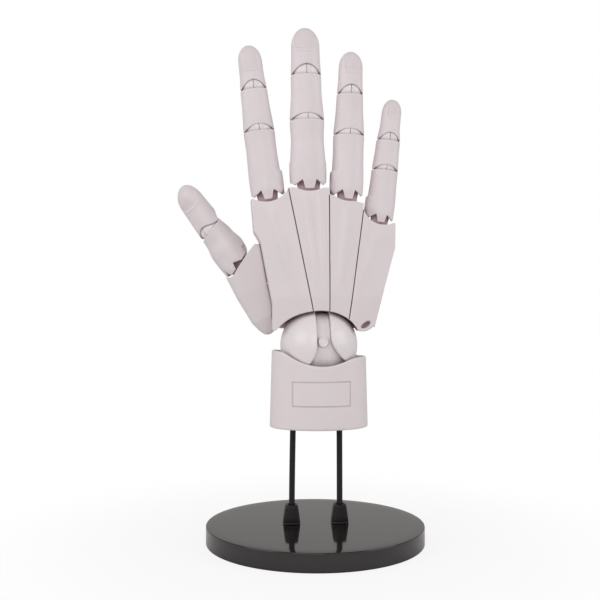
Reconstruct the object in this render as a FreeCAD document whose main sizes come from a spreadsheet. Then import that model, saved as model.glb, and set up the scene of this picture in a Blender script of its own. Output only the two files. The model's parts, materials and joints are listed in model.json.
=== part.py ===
import FreeCAD, Part
import os
import re
import Sketcher

# Jointed right hand on a stand, back of the hand towards -Y, fingertips up, thumb towards -X.
# The origin is the centre of the underside of the base disc. Lengths in millimetres, angles in degrees.

STAND = {
    "disc_diameter": 89.0,
    "disc_thickness": 7.4,
    "disc_edge": 0.6,
    "rod_diameter": 2.4,
    "rod_spacing": 19.4,
    "rod_grip": 12.0,
    "socket_height": 7.8,
    "socket_foot": 7.0,
    "socket_top": 5.2,
    "socket_floor": 2.0,
    "screw_diameter": 2.6,
    "screw_head_diameter": 5.0,
    "screw_head_height": 1.6,
    "screw_sink": 0.6,
}
CUFF = {
    "cuff_foot_z": 47.0,
    "cuff_width": 40.2,
    "cuff_depth": 30.0,
    "cuff_top_width": 38.4,
    "cuff_top_depth": 29.0,
    "cuff_wall": 2.4,
    "cuff_lip": 1.2,
    "horn_left_drop": 2.0,
    "horn_right_drop": 4.5,
    "saddle_drop": 9.0,
    "saddle_radius": 22.4,
    "core_top_drop": 17.6,
    "neck_width": 7.0,
    "neck_depth": 5.0,
    "label_width": 23.0,
    "label_height": 9.8,
    "label_line": 0.5,
    "label_sink": 0.35,
    "label_z": 61.5,
}
WRIST = {
    "wrist_x": 1.5,
    "wrist_z": 80.2,
    "lobe_radius": 15.8,
    "lobe_wall": 1.9,
    "lobe_slot": 5.8,
    "lobe_slot_top": 13.4,
    "lobe_opening_radius": 11.5,
    "lobe_opening_drop": 13.5,
    "lobe_opening_shift": 1.7,
    "lobe_pin_diameter": 4.0,
    "lobe_pin_length": 6.5,
    "wrist_pin_diameter": 3.0,
    "wrist_pin_head_diameter": 4.5,
    "wrist_pin_head": 0.7,
    "wrist_swing": 15.0,
}
PALM = {
    "palm_x": 2.8,
    "palm_foot_width": 56.0,
    "palm_foot_depth": 20.0,
    "palm_heel_width": 62.0,
    "palm_heel_depth": 23.0,
    "palm_middle_width": 69.0,
    "palm_middle_depth": 21.0,
    "palm_top_width": 69.0,
    "palm_top_depth": 17.5,
    "palm_heel_z": 100.0,
    "palm_middle_z": 125.0,
    "plate_foot_z": 86.0,
    "plate_top_z": 150.0,
    "seam_gap": 0.7,
    "index_seam_foot_x": -0.1,
    "index_seam_top_x": -12.9,
    "ring_seam_x": 4.8,
    "little_seam_foot_x": 12.0,
    "little_seam_top_x": 20.8,
    "index_edge_x": -26.5,
    "index_edge_top_z": 139.2,
    "index_seam_top_z": 143.4,
    "web_notch_z": 125.2,
    "web_notch_rise": 2.9,
    "web_notch_x": -23.3,
    "index_foot_x": -17.7,
    "index_heel_z": 96.6,
    "middle_top_z": 143.6,
    "ring_left_top_z": 141.0,
    "ring_right_top_z": 137.4,
    "little_left_top_z": 136.8,
    "little_right_top_z": 129.4,
    "little_edge_x": 32.4,
    "little_edge_z": 120.0,
    "little_foot_x": 23.0,
    "heel_top_z": 104.0,
    "heel_foot_z": 87.0,
    "heel_width": 33.0,
    "heel_front_y": 0.9,
    "heel_back_y": 13.0,
    "heel_top_y": 10.5,
    "plate_back_y": 0.4,
    "plate_heel_gap": 2.0,
    "cup_pin_z": 108.5,
    "cup_pin_y": 0.5,
    "cup_pin_diameter": 2.4,
    "cup_pin_reach": 4.2,
}
HINGES = {
    "joint_gap": 0.3,
    "fit_gap": 0.05,
    "ear_wall": 1.1,
    "joint_cover": 1.2,
    "ear_drop": 1.4,
    "ear_relief": 0.9,
    "bevel_drop": 2.2,
    "drum_seam": 0.2,
    "pin_diameter": 1.6,
    "pin_sink": 0.6,
    "knuckle_wall": 1.9,
    "neck_thickness": 2.0,
    "neck_root": 1.8,
    "knuckle_gap": 0.9,
    "knuckle_swing": 8.0,
    "knuckle_back_bend": 8.0,
    "trunnion_diameter": 2.6,
}
THUMB_BASE = {
    "thumb_root_x": -21.0,
    "thumb_root_y": 7.2,
    "thumb_root_z": 91.0,
    "thumb_root_lean": -26.7,
    "thumb_foot_reach": 7.2,
    "thumb_foot_width": 6.4,
    "thumb_foot_depth": 6.0,
    "thumb_root_width": 10.0,
    "thumb_root_depth": 9.8,
    "thumb_palm_height": 12.0,
    "thumb_palm_width": 13.6,
    "thumb_palm_depth": 12.6,
    "thumb_palm_shift": 0.8,
    "thumb_web_height": 24.0,
    "thumb_web_width": 17.0,
    "thumb_web_depth": 13.8,
    "thumb_web_shift": 2.4,
    "thumb_top_height": 33.0,
    "thumb_top_shift": 3.2,
    "thumb_edge_gap": 0.8,
    "link_pivot_x": -13.0,
    "link_pivot_z": 92.0,
    "link_eye_radius": 3.0,
    "link_thickness": 4.0,
    "link_height": 6.0,
    "link_pin_diameter": 2.0,
    "link_pin_back_y": 10.4,
}
FINGERS = {
    "index": {
        "knuckle_x": -20.5, "knuckle_y": 0.0, "knuckle_z": 147.7, "lean": -7.3, "roll": 0.0,
        "proximal_length": 21.0, "middle_length": 17.1, "distal_length": 17.2,
        "base_width": 13.5, "base_depth": 13.0, "base_reach": 8.8, "proximal_width": 12.4,
        "middle_joint_width": 12.7, "middle_joint_depth": 11.8, "middle_joint_rise": 2.2,
        "middle_width": 11.4, "end_joint_width": 10.9, "end_joint_depth": 10.0, "end_joint_rise": 3.0,
        "tip_width": 9.3, "tip_depth": 7.8, "tip_length": 5.6,
    },
    "middle": {
        "knuckle_x": -3.1, "knuckle_y": -1.4, "knuckle_z": 152.0, "lean": -1.3, "roll": 0.0,
        "proximal_length": 21.1, "middle_length": 18.4, "distal_length": 18.3,
        "base_width": 15.1, "base_depth": 14.2, "base_reach": 8.8, "proximal_width": 13.8,
        "middle_joint_width": 14.1, "middle_joint_depth": 12.8, "middle_joint_rise": 2.2,
        "middle_width": 12.5, "end_joint_width": 12.4, "end_joint_depth": 11.0, "end_joint_rise": 3.1,
        "tip_width": 11.2, "tip_depth": 9.0, "tip_length": 6.0,
    },
    "ring": {
        "knuckle_x": 13.2, "knuckle_y": -0.8, "knuckle_z": 148.1, "lean": 1.7, "roll": 0.0,
        "proximal_length": 19.3, "middle_length": 16.8, "distal_length": 16.3,
        "base_width": 13.5, "base_depth": 13.0, "base_reach": 8.8, "proximal_width": 12.5,
        "middle_joint_width": 12.7, "middle_joint_depth": 11.8, "middle_joint_rise": 1.4,
        "middle_width": 11.3, "end_joint_width": 10.7, "end_joint_depth": 9.8, "end_joint_rise": 2.8,
        "tip_width": 9.5, "tip_depth": 7.9, "tip_length": 5.4,
    },
    "little": {
        "knuckle_x": 27.3, "knuckle_y": 0.8, "knuckle_z": 137.9, "lean": 6.8, "roll": 0.0,
        "proximal_length": 15.6, "middle_length": 12.4, "distal_length": 15.7,
        "base_width": 11.9, "base_depth": 11.6, "base_reach": 7.9, "proximal_width": 11.0,
        "middle_joint_width": 10.8, "middle_joint_depth": 10.4, "middle_joint_rise": 1.4,
        "middle_width": 10.0, "end_joint_width": 9.7, "end_joint_depth": 9.2, "end_joint_rise": 2.4,
        "tip_width": 7.7, "tip_depth": 6.8, "tip_length": 4.6,
    },
    "thumb": {
        "knuckle_x": -34.6, "knuckle_y": 7.4, "knuckle_z": 118.0, "lean": -37.0, "roll": -45.0,
        "proximal_length": 12.6, "distal_length": 21.3,
        "base_width": 14.6, "base_depth": 13.8, "base_reach": 7.6, "proximal_width": 13.0,
        "end_joint_width": 12.0, "end_joint_depth": 11.4, "end_joint_rise": 2.8,
        "tip_width": 11.0, "tip_depth": 8.8, "tip_length": 6.2,
    },
}
SHARES = {
    "base_foot_share": 0.9,
    "trunnion_root_share": 0.85,
    "notch_outer_share": 0.37,
    "notch_inner_share": 0.17,
    "notch_tip_share": 0.24,
    "notch_top_share": 0.4,
    "pad_share": 1.1,
    "nail_length_share": 0.3,
    "nail_width_share": 0.36,
    "nail_rise_share": 0.3,
    "nail_front_share": 0.24,
    "nail_drop_share": 0.1,
}
OVERRUN = {"overrun": 40.0}

doc = FreeCAD.newDocument("JointedHand")
sheet = doc.addObject("Spreadsheet::Sheet", "Sizes")
nodes = []


def fill_sheet():
    """Writes every driving size into its own named cell."""
    groups = [STAND, CUFF, WRIST, PALM, HINGES, THUMB_BASE, SHARES, OVERRUN]
    for digit, sizes in FINGERS.items():
        groups.append({f"{digit}_{word}": value for word, value in sizes.items()})
    rows = [pair for group in groups for pair in group.items()]
    for row, (name, value) in enumerate(rows, start=1):
        sheet.set(f"A{row}", str(value))
        sheet.setAlias(f"A{row}", name)
    doc.recompute()
    return {name for name, value in rows}


names = fill_sheet()


def link(text):
    """Turns the size names in an expression into references to their cells."""
    return re.sub(r"[a-z_]+", lambda m: "Sizes." + m.group() if m.group() in names else m.group(), text)


def solid(kind, name, sizes, at=("0", "0", "0"), turn=None):
    """A primitive whose sizes and place are bound to the sheet."""
    item = doc.addObject(kind, name)
    for word, text in sizes.items():
        item.setExpression(word, link(text))
    if turn:
        item.Placement.Rotation = FreeCAD.Rotation(FreeCAD.Vector(*turn[0]), turn[1])
    for word, text in zip("xyz", at):
        item.setExpression(f"Placement.Base.{word}", link(text))
    return item


def box(name, x, y, z):
    """A block between two values on each axis."""
    spans = {"Length": x, "Width": y, "Height": z}
    sizes = {word: f"({high}) - ({low})" for word, (low, high) in spans.items()}
    return solid("Part::Box", name, sizes, (x[0], y[0], z[0]))


def ball(name, radius, at=("0", "0", "0")):
    return solid("Part::Sphere", name, {"Radius": radius}, at)


def post(name, radius, x, y, z):
    """A cylinder upright on Z."""
    return solid("Part::Cylinder", name, {"Radius": radius, "Height": f"({z[1]}) - ({z[0]})"}, (x, y, z[0]))


def bar_across(name, radius, x, y="0", z="0"):
    """A cylinder along X."""
    sizes = {"Radius": radius, "Height": f"({x[1]}) - ({x[0]})"}
    return solid("Part::Cylinder", name, sizes, (x[0], y, z), ((0, 1, 0), 90))


def bar_through(name, radius, x, y, z):
    """A cylinder along Y."""
    sizes = {"Radius": radius, "Height": f"({y[1]}) - ({y[0]})"}
    return solid("Part::Cylinder", name, sizes, (x, y[0], z), ((1, 0, 0), -90))


def cone_across(name, radii, x, z):
    """A cone along X."""
    sizes = {"Radius1": radii[0], "Radius2": radii[1], "Height": f"({x[1]}) - ({x[0]})"}
    return solid("Part::Cone", name, sizes, (x[0], "0", z), ((0, 1, 0), 90))


def slope(name, y, low, high):
    """A wedge along X whose floor and roof each run from one height to another between two Y values."""
    sizes = {
        "Xmin": "-overrun", "Xmax": "overrun", "X2min": "-overrun", "X2max": "overrun",
        "Ymin": y[0], "Ymax": y[1], "Zmin": low[0], "Z2min": low[1], "Zmax": high[0], "Z2max": high[1],
    }
    return solid("Part::Wedge", name, sizes)


def oval(name, width, depth, at):
    """A level ellipse, wide on X and deep on Y, whichever of the two is the larger."""
    sizes = {"MajorRadius": f"max({width}; {depth}) / 2", "MinorRadius": f"min({width}; {depth}) / 2"}
    item = solid("Part::Ellipse", name, sizes)
    turn = f"({width}) >= ({depth}) ? 0 : 90"
    return placed(item, f"placement(vector({at[0]}; {at[1]}; {at[2]}); rotationz({turn}))")


def loft(name, sections):
    item = doc.addObject("Part::Loft", name)
    item.Sections = sections
    item.Solid = True
    return item


def fuse(name, items):
    item = doc.addObject("Part::MultiFuse", name)
    item.Shapes = items
    return item


def cut(name, base, tools):
    """Takes one or more tools away from a solid."""
    item = doc.addObject("Part::Cut", name)
    item.Base = base
    item.Tool = tools[0] if len(tools) == 1 else fuse(f"{name}_tools", tools)
    return item


def common(name, base, tool):
    item = doc.addObject("Part::Common", name)
    item.Base = base
    item.Tool = tool
    return item


def group(name, items):
    """Like solids that share one node."""
    item = doc.addObject("Part::Compound", name)
    item.Links = items
    return item


def node(name, item, frame=None):
    """Names a finished sub-part and gives it its place."""
    item.Label = name
    if frame:
        item.setExpression("Placement", link(frame))
    nodes.append(item)
    return item


def placed(item, frame):
    item.setExpression("Placement", link(frame))
    return item


def plate_body(name, points, depth, front="0"):
    """A body padded from a closed outline in XZ, its corners bound to the sheet, from a front face along +Y."""
    body = doc.addObject("PartDesign::Body", name)
    sketch = body.newObject("Sketcher::SketchObject", f"{name}_outline")
    plane = [item for item in body.Origin.OriginFeatures if item.Role == "XZ_Plane"][0]
    sketch.AttachmentSupport = [(plane, "")]
    sketch.MapMode = "FlatFace"
    corners = [FreeCAD.Vector(value_of(x), value_of(z), 0) for x, z in points]
    for corner, following in zip(corners, corners[1:] + corners[:1]):
        sketch.addGeometry(Part.LineSegment(corner, following))
    for edge in range(len(points)):
        sketch.addConstraint(Sketcher.Constraint("Coincident", edge, 2, (edge + 1) % len(points), 1))
    for edge, (words, corner) in enumerate(zip(points, corners)):
        for kind, text, value in zip(("DistanceX", "DistanceY"), words, (corner.x, corner.y)):
            row = sketch.addConstraint(Sketcher.Constraint(kind, -1, 1, edge, 1, value))
            sketch.setExpression(f"Constraints[{row}]", link(text))
    pad = body.newObject("PartDesign::Pad", f"{name}_pad")
    pad.Profile = sketch
    pad.Reversed = True
    pad.setExpression("Length", link(depth))
    body.setExpression("Placement.Base.y", link(front))
    return body


def value_of(text):
    """The present value of an expression in sheet names."""
    return float(sheet.evalExpression(link(text)))


def base_disc():
    """Round weighted disc with two counterbored screw holes under the sockets."""
    body = doc.addObject("PartDesign::Body", "BaseDisc")
    plane = [item for item in body.Origin.OriginFeatures if item.Role == "XY_Plane"][0]
    outline = body.newObject("Sketcher::SketchObject", "DiscOutline")
    outline.AttachmentSupport = [(plane, "")]
    outline.MapMode = "FlatFace"
    draw_circle(outline, "0", "disc_diameter / 2")
    for side in ("-", ""):
        draw_circle(outline, f"{side}rod_spacing / 2", "screw_diameter / 2 + fit_gap")
    pad = body.newObject("PartDesign::Pad", "DiscPad")
    pad.Profile = outline
    pad.setExpression("Length", link("disc_thickness"))
    doc.recompute()
    sinks = body.newObject("Sketcher::SketchObject", "ScrewSinks")
    sinks.AttachmentSupport = [(plane, "")]
    sinks.MapMode = "FlatFace"
    for side in ("-", ""):
        draw_circle(sinks, f"{side}rod_spacing / 2", "screw_head_diameter / 2 + joint_gap")
    pocket = body.newObject("PartDesign::Pocket", "ScrewPocket")
    pocket.Profile = sinks
    pocket.Reversed = True
    pocket.setExpression("Length", link("screw_sink + screw_head_height"))
    doc.recompute()
    rims = [f"Edge{number}" for number, edge in enumerate(pocket.Shape.Edges, start=1)
            if edge.BoundBox.XLength > value_of("disc_diameter / 2")]
    rounding = body.newObject("PartDesign::Fillet", "DiscRims")
    rounding.Base = (pocket, rims)
    rounding.setExpression("Radius", link("disc_edge"))
    node("base_disc", body)


def draw_circle(sketch, x, radius):
    """A circle centred on the sketch's X axis, its place and radius bound to the sheet."""
    centre = FreeCAD.Vector(value_of(x), 0, 0)
    row = sketch.addGeometry(Part.Circle(centre, FreeCAD.Vector(0, 0, 1), value_of(radius)))
    size = sketch.addConstraint(Sketcher.Constraint("Radius", row, value_of(radius)))
    sketch.setExpression(f"Constraints[{size}]", link(radius))
    sketch.addConstraint(Sketcher.Constraint("PointOnObject", row, 3, -1))
    if x == "0":
        sketch.addConstraint(Sketcher.Constraint("PointOnObject", row, 3, -2))
        return
    place = sketch.addConstraint(Sketcher.Constraint("DistanceX", -1, 1, row, 3, centre.x))
    sketch.setExpression(f"Constraints[{place}]", link(x))


def stand():
    """Sockets screwed to the disc from below, each gripping an upright rod that enters the cuff."""
    base_disc()
    sockets = []
    screws = []
    rods = []
    top = "disc_thickness + socket_height"
    rod_foot = "disc_thickness + socket_floor"
    for side, sign in (("Left", "-"), ("Right", "")):
        x = f"{sign}rod_spacing / 2"
        shape = {
            "Xmin": "-socket_foot / 2", "Xmax": "socket_foot / 2",
            "X2min": "-socket_top / 2", "X2max": "socket_top / 2",
            "Zmin": "-socket_foot / 2", "Zmax": "socket_foot / 2",
            "Z2min": "-socket_top / 2", "Z2max": "socket_top / 2",
            "Ymin": "0", "Ymax": "socket_height",
        }
        taper = solid("Part::Wedge", f"SocketTaper{side}", shape, (x, "0", "disc_thickness"), ((1, 0, 0), 90))
        rod_bore = post(f"RodBore{side}", "rod_diameter / 2", x, "0", (rod_foot, top))
        screw_bore = post(f"ScrewBore{side}", "screw_diameter / 2", x, "0", ("0", rod_foot))
        sockets.append(cut(f"Socket{side}", taper, [rod_bore, screw_bore]))
        rods.append(post(f"Rod{side}", "rod_diameter / 2", x, "0", (rod_foot, "cuff_foot_z + rod_grip")))
        shank = post(f"Shank{side}", "screw_diameter / 2", x, "0", ("screw_sink", rod_foot))
        head = post(f"ScrewHead{side}", "screw_head_diameter / 2", x, "0",
                    ("screw_sink", "screw_sink + screw_head_height"))
        screws.append(fuse(f"Screw{side}", [shank, head]))
    node("rod_sockets", group("RodSockets", sockets))
    node("support_rods", group("SupportRods", rods))
    node("socket_screws", group("SocketScrews", screws))


def cuff_loft(name, inset):
    """The tapered oval of the cuff, drawn in by an inset all round."""
    foot = oval(f"{name}Foot", f"cuff_width - 2 * ({inset})", f"cuff_depth - 2 * ({inset})",
                ("wrist_x", "0", "cuff_foot_z"))
    top = oval(f"{name}Top", f"cuff_top_width - 2 * ({inset})", f"cuff_top_depth - 2 * ({inset})",
               ("wrist_x", "0", "wrist_z"))
    return loft(name, [foot, top])


def cuff():
    """Oval forearm shell with two horns beside the wrist ball, over a core that stands on the rods."""
    core_top = "wrist_z - core_top_drop"
    core_foot = "cuff_foot_z + cuff_lip"
    seat = ball("CuffSeat", "lobe_radius + joint_gap", ("wrist_x", "0", "wrist_z"))
    saddle = bar_through("CuffSaddle", "saddle_radius", "wrist_x", ("-overrun", "overrun"),
                         "wrist_z - saddle_drop + saddle_radius")
    left = box("HornLeft", ("-overrun", "wrist_x"), ("-overrun", "overrun"),
               ("wrist_z - horn_left_drop", "wrist_z + overrun"))
    right = box("HornRight", ("wrist_x", "overrun"), ("-overrun", "overrun"),
                ("wrist_z - horn_right_drop", "wrist_z + overrun"))
    throat = post("CuffThroat", "neck_width", "wrist_x", "0", (core_top, "wrist_z"))
    hollow = loft("CuffHollow", [
        oval("HollowFoot", "cuff_top_width - 2 * cuff_wall", "cuff_top_depth - 2 * cuff_wall",
             ("wrist_x", "0", "cuff_foot_z - overrun")),
        oval("HollowTop", "cuff_top_width - 2 * cuff_wall", "cuff_top_depth - 2 * cuff_wall",
             ("wrist_x", "0", f"{core_top} + fit_gap")),
    ])
    tools = [seat, saddle, left, right, throat, hollow, label_line()]
    node("cuff_shell", cut("CuffShell", cuff_loft("CuffOuter", "0"), tools))

    core_size = ("cuff_top_width - 2 * (cuff_wall + fit_gap)", "cuff_top_depth - 2 * (cuff_wall + fit_gap)")
    block = loft("CoreBlock", [
        oval("CoreFoot", *core_size, ("wrist_x", "0", core_foot)),
        oval("CoreTop", *core_size, ("wrist_x", "0", core_top)),
    ])
    neck = box("WristNeck", ("wrist_x - neck_width / 2", "wrist_x + neck_width / 2"),
               ("-neck_depth / 2", "neck_depth / 2"), (f"{core_top} - cuff_wall", "wrist_z"))
    crown = bar_through("NeckCrown", "neck_width / 2", "wrist_x", ("-neck_depth / 2", "neck_depth / 2"), "wrist_z")
    pin_bore = bar_through("NeckBore", "wrist_pin_diameter / 2 + fit_gap", "wrist_x",
                           ("-neck_depth", "neck_depth"), "wrist_z")
    rod_bores = [post(f"CoreRodBore{side}", "rod_diameter / 2 + fit_gap", f"{sign}rod_spacing / 2", "0",
                      ("0", "cuff_foot_z + rod_grip")) for side, sign in (("Left", "-"), ("Right", ""))]
    node("cuff_core", cut("CuffCore", fuse("CoreSolid", [block, neck, crown]), [pin_bore] + rod_bores))


def label_line():
    """A thin rectangular line sunk into the front of the cuff."""
    frame = box("LabelOuter", ("wrist_x - label_width / 2", "wrist_x + label_width / 2"), ("-cuff_depth", "0"),
                ("label_z - label_height / 2", "label_z + label_height / 2"))
    field = box("LabelField",
                ("wrist_x - label_width / 2 + label_line", "wrist_x + label_width / 2 - label_line"),
                ("-cuff_depth", "0"),
                ("label_z - label_height / 2 + label_line", "label_z + label_height / 2 - label_line"))
    return cut("LabelLine", frame, [field, cuff_loft("LabelDepth", "label_sink")])


def wrist():
    """Inner ball on the cuff's neck, its pivot pin, and the outer ball with two lobes."""
    centre = ("wrist_x", "0", "wrist_z")
    inner = "(lobe_radius - lobe_wall)"
    core = f"({inner} - joint_gap)"
    pin = "wrist_pin_diameter / 2"
    head = "wrist_pin_head_diameter / 2"
    shoulder = f"wrist_pin_head - {core}"
    reach = f"neck_width / 2 + {core} * sin(wrist_swing) + joint_gap"
    slot = box("NeckSlot", (f"wrist_x - ({reach})", f"wrist_x + {reach}"),
               ("-neck_depth / 2 - joint_gap", "neck_depth / 2 + joint_gap"),
               ("wrist_z - lobe_radius", "wrist_z + neck_width / 2 + joint_gap"))
    pin_bore = bar_through("BallPinBore", f"{pin}", "wrist_x", ("-lobe_radius", "lobe_radius"), "wrist_z")
    head_bore = bar_through("BallHeadBore", f"{head} + fit_gap", "wrist_x", ("-lobe_radius", shoulder), "wrist_z")
    sockets = [
        bar_across("BallSocketLeft", "lobe_pin_diameter / 2 + fit_gap",
                   ("wrist_x - lobe_radius", f"wrist_x - {inner} + lobe_pin_length + joint_gap"), "0", "wrist_z"),
        bar_across("BallSocketRight", "lobe_pin_diameter / 2 + fit_gap",
                   (f"wrist_x + {inner} - lobe_pin_length - joint_gap", "wrist_x + lobe_radius"), "0", "wrist_z"),
    ]
    node("wrist_ball", cut("WristBall", ball("InnerBall", core, centre), [slot, pin_bore, head_bore] + sockets))
    shank = bar_through("PinShank", pin, "wrist_x", (shoulder, f"{core} - wrist_pin_head"), "wrist_z")
    button = bar_through("PinHead", head, "wrist_x", (f"-{core} - wrist_pin_head", shoulder), "wrist_z")
    node("wrist_pin", fuse("WristPin", [shank, button]))

    window = box("LobeSlot", ("wrist_x - lobe_slot / 2", "wrist_x + lobe_slot / 2"),
                 ("-overrun", "overrun"), ("wrist_z - lobe_radius", "wrist_z + lobe_slot_top"))
    opening = bar_through("LobeOpening", "lobe_opening_radius", "wrist_x + lobe_opening_shift",
                          ("-overrun", "overrun"), "wrist_z - lobe_opening_drop")
    shell = cut("LobeShell", ball("LobeBall", "lobe_radius", centre),
                [ball("LobeHollow", inner, centre), window, opening])
    pins = [
        bar_across("LobePinLeft", "lobe_pin_diameter / 2",
                   (f"wrist_x - {inner} - lobe_wall / 2", f"wrist_x - {inner} + lobe_pin_length"), "0", "wrist_z"),
        bar_across("LobePinRight", "lobe_pin_diameter / 2",
                   (f"wrist_x + {inner} - lobe_pin_length", f"wrist_x + {inner} + lobe_wall / 2"), "0", "wrist_z"),
    ]
    node("wrist_lobes", fuse("WristLobes", [shell] + pins))


def palm_envelope(name):
    """The outer form of the whole palm, rounded front and back, which every plate is taken from."""
    return loft(name, [
        oval(f"{name}Foot", "palm_foot_width", "palm_foot_depth", ("palm_x", "0", "heel_foot_z - lobe_wall")),
        oval(f"{name}Heel", "palm_heel_width", "palm_heel_depth", ("palm_x", "0", "palm_heel_z")),
        oval(f"{name}Middle", "palm_middle_width", "palm_middle_depth", ("palm_x", "0", "palm_middle_z")),
        oval(f"{name}Top", "palm_top_width", "palm_top_depth", ("palm_x", "0", "plate_top_z")),
    ])


def seam(finger, height):
    """Where the seam on the thumb side of a finger's plate lies at a height."""
    if finger == "ring":
        return "ring_seam_x"
    side = "index" if finger == "middle" else "little"
    rise = f"({height} - plate_foot_z) / (plate_top_z - plate_foot_z)"
    return f"({side}_seam_foot_x + ({side}_seam_top_x - {side}_seam_foot_x) * {rise})"


def digit_frame(digit):
    """Where a digit stands: its knuckle centre, its lean across the palm and its roll."""
    place = f"vector({digit}_knuckle_x; {digit}_knuckle_y; {digit}_knuckle_z)"
    return f"placement({place}; rotationy({digit}_lean) * rotationz({digit}_roll))"


def knuckle_radius(digit):
    return f"({digit}_base_width / 2 - knuckle_wall - joint_gap)"


def neck_half(digit):
    return f"({knuckle_radius(digit)} / 2)"


def knuckle_cuts(digit):
    """What a metacarpal gives up at its knuckle: a round scallop, wide enough for the finger to swing in."""
    return [knuckle_bar(f"{digit}_scallop", digit, f"{digit}_base_reach + knuckle_gap", "overrun")]


def knuckle_neck(digit):
    """The upright tongue on a metacarpal that the finger's knuckle ball swings on."""
    half = neck_half(digit)
    faces = ("-neck_thickness / 2", "neck_thickness / 2")
    tongue = box(f"{digit}_neck_tongue", (f"-{half}", half), faces,
                 (f"-{digit}_base_reach - knuckle_gap - neck_root", "0"))
    crown = bar_through(f"{digit}_neck_crown", half, "0", faces, "0")
    return placed(fuse(f"{digit}_neck", [tongue, crown]), digit_frame(digit))


def neck_bore(digit):
    """The hole in a metacarpal's tongue that grips the knuckle pin."""
    return knuckle_bar(f"{digit}_neck_bore", digit, "pin_diameter / 2", "neck_thickness")


def knuckle_bar(name, digit, radius, half_length):
    """A cylinder on the line that a digit swings about, as long each side of its knuckle centre."""
    item = solid("Part::Cylinder", name, {"Radius": radius, "Height": f"2 * ({half_length})"})
    return placed(item, f"{digit_frame(digit)} * placement(vector(0; -({half_length}); 0); rotationx(-90))")


def knuckle(digit):
    """The knuckle ball, slotted over the metacarpal's tongue, with a trunnion each side for the finger."""
    radius = knuckle_radius(digit)
    wide = f"{neck_half(digit)} + {radius} * sin(knuckle_swing) + joint_gap"
    slot = box(f"{digit}_knuckle_slot", (f"-({wide})", wide),
               ("-neck_thickness / 2 - joint_gap", "neck_thickness / 2 + joint_gap"),
               (f"-{radius}", f"{neck_half(digit)} + joint_gap"))
    bore = bar_through(f"{digit}_knuckle_bore", "pin_diameter / 2 + fit_gap", "0", (f"-{radius}", radius), "0")
    ball_part = cut(f"{digit}_knuckle_ball", ball(f"{digit}_knuckle_round", radius), [slot, bore])
    root = f"{radius} * trunnion_root_share"
    ends = f"{digit}_base_width / 2 - pin_sink"
    pins = [
        bar_across(f"{digit}_trunnion_left", "trunnion_diameter / 2", (f"-({ends})", f"-{root}")),
        bar_across(f"{digit}_trunnion_right", "trunnion_diameter / 2", (root, ends)),
    ]
    node(f"{digit}_knuckle", fuse(f"{digit}_knuckle_part", [ball_part] + pins), digit_frame(digit))
    node(f"{digit}_knuckle_pin", knuckle_bar(f"{digit}_knuckle_pin_part", digit, "pin_diameter / 2",
                                             f"{radius} - pin_sink"))


def base_cuts(digit):
    """What a proximal phalanx gives up at its knuckle, so that it swings and bends round the ball."""
    reach = f"{digit}_base_reach"
    radius = knuckle_radius(digit)
    below = box(f"{digit}_skirt_block", ("-overrun", "overrun"), ("-overrun", "overrun"), ("-overrun", "0"))
    rounds = [ball(f"{digit}_skirt_round", reach),
              bar_through(f"{digit}_skirt_front", reach, "0", ("-overrun", "0"), "0")]
    skirt = cut(f"{digit}_skirt_trim", below, rounds)
    cavity = ball(f"{digit}_knuckle_cavity", f"{radius} + joint_gap")
    wide = f"{neck_half(digit)} + {reach} * sin(knuckle_swing) + joint_gap"
    front = f"neck_thickness / 2 + {reach} * sin(knuckle_back_bend) + joint_gap"
    throat = box(f"{digit}_neck_throat", (f"-({wide})", wide), (f"-({front})", "overrun"),
                 ("-overrun", "neck_thickness / 2 + joint_gap"))
    bore = bar_across(f"{digit}_trunnion_bore", "trunnion_diameter / 2 + fit_gap", ("-overrun", "overrun"))
    return [skirt, cavity, throat, bore, notch(digit, "left", "-"), notch(digit, "right", "")]


def notch(digit, side, sign):
    """A V cut up into the front of a finger's foot, on one side of the knuckle tongue."""
    reach = f"{digit}_base_reach"
    outer, inner, tip = (f"{digit}_base_width * notch_{place}_share" for place in ("outer", "inner", "tip"))
    ends = {"Xmin": inner, "Xmax": outer, "X2min": tip, "X2max": f"{tip} + fit_gap"}
    if sign:
        ends = {"Xmin": f"-{outer}", "Xmax": f"-{inner}", "X2min": f"-{tip} - fit_gap", "X2max": f"-{tip}"}
    heights = {"Ymin": f"-{reach} - knuckle_gap", "Ymax": f"-{reach} * notch_top_share"}
    depths = {"Zmin": "0", "Z2min": "0", "Zmax": "overrun", "Z2max": "overrun"}
    return solid("Part::Wedge", f"{digit}_notch_{side}", {**ends, **heights, **depths}, turn=((1, 0, 0), 90))


def drum_half(width):
    return f"({width} / 2 - ear_wall - joint_gap)"


def drum_radius(depth):
    return f"({depth} / 2 - joint_cover - joint_gap)"


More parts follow.
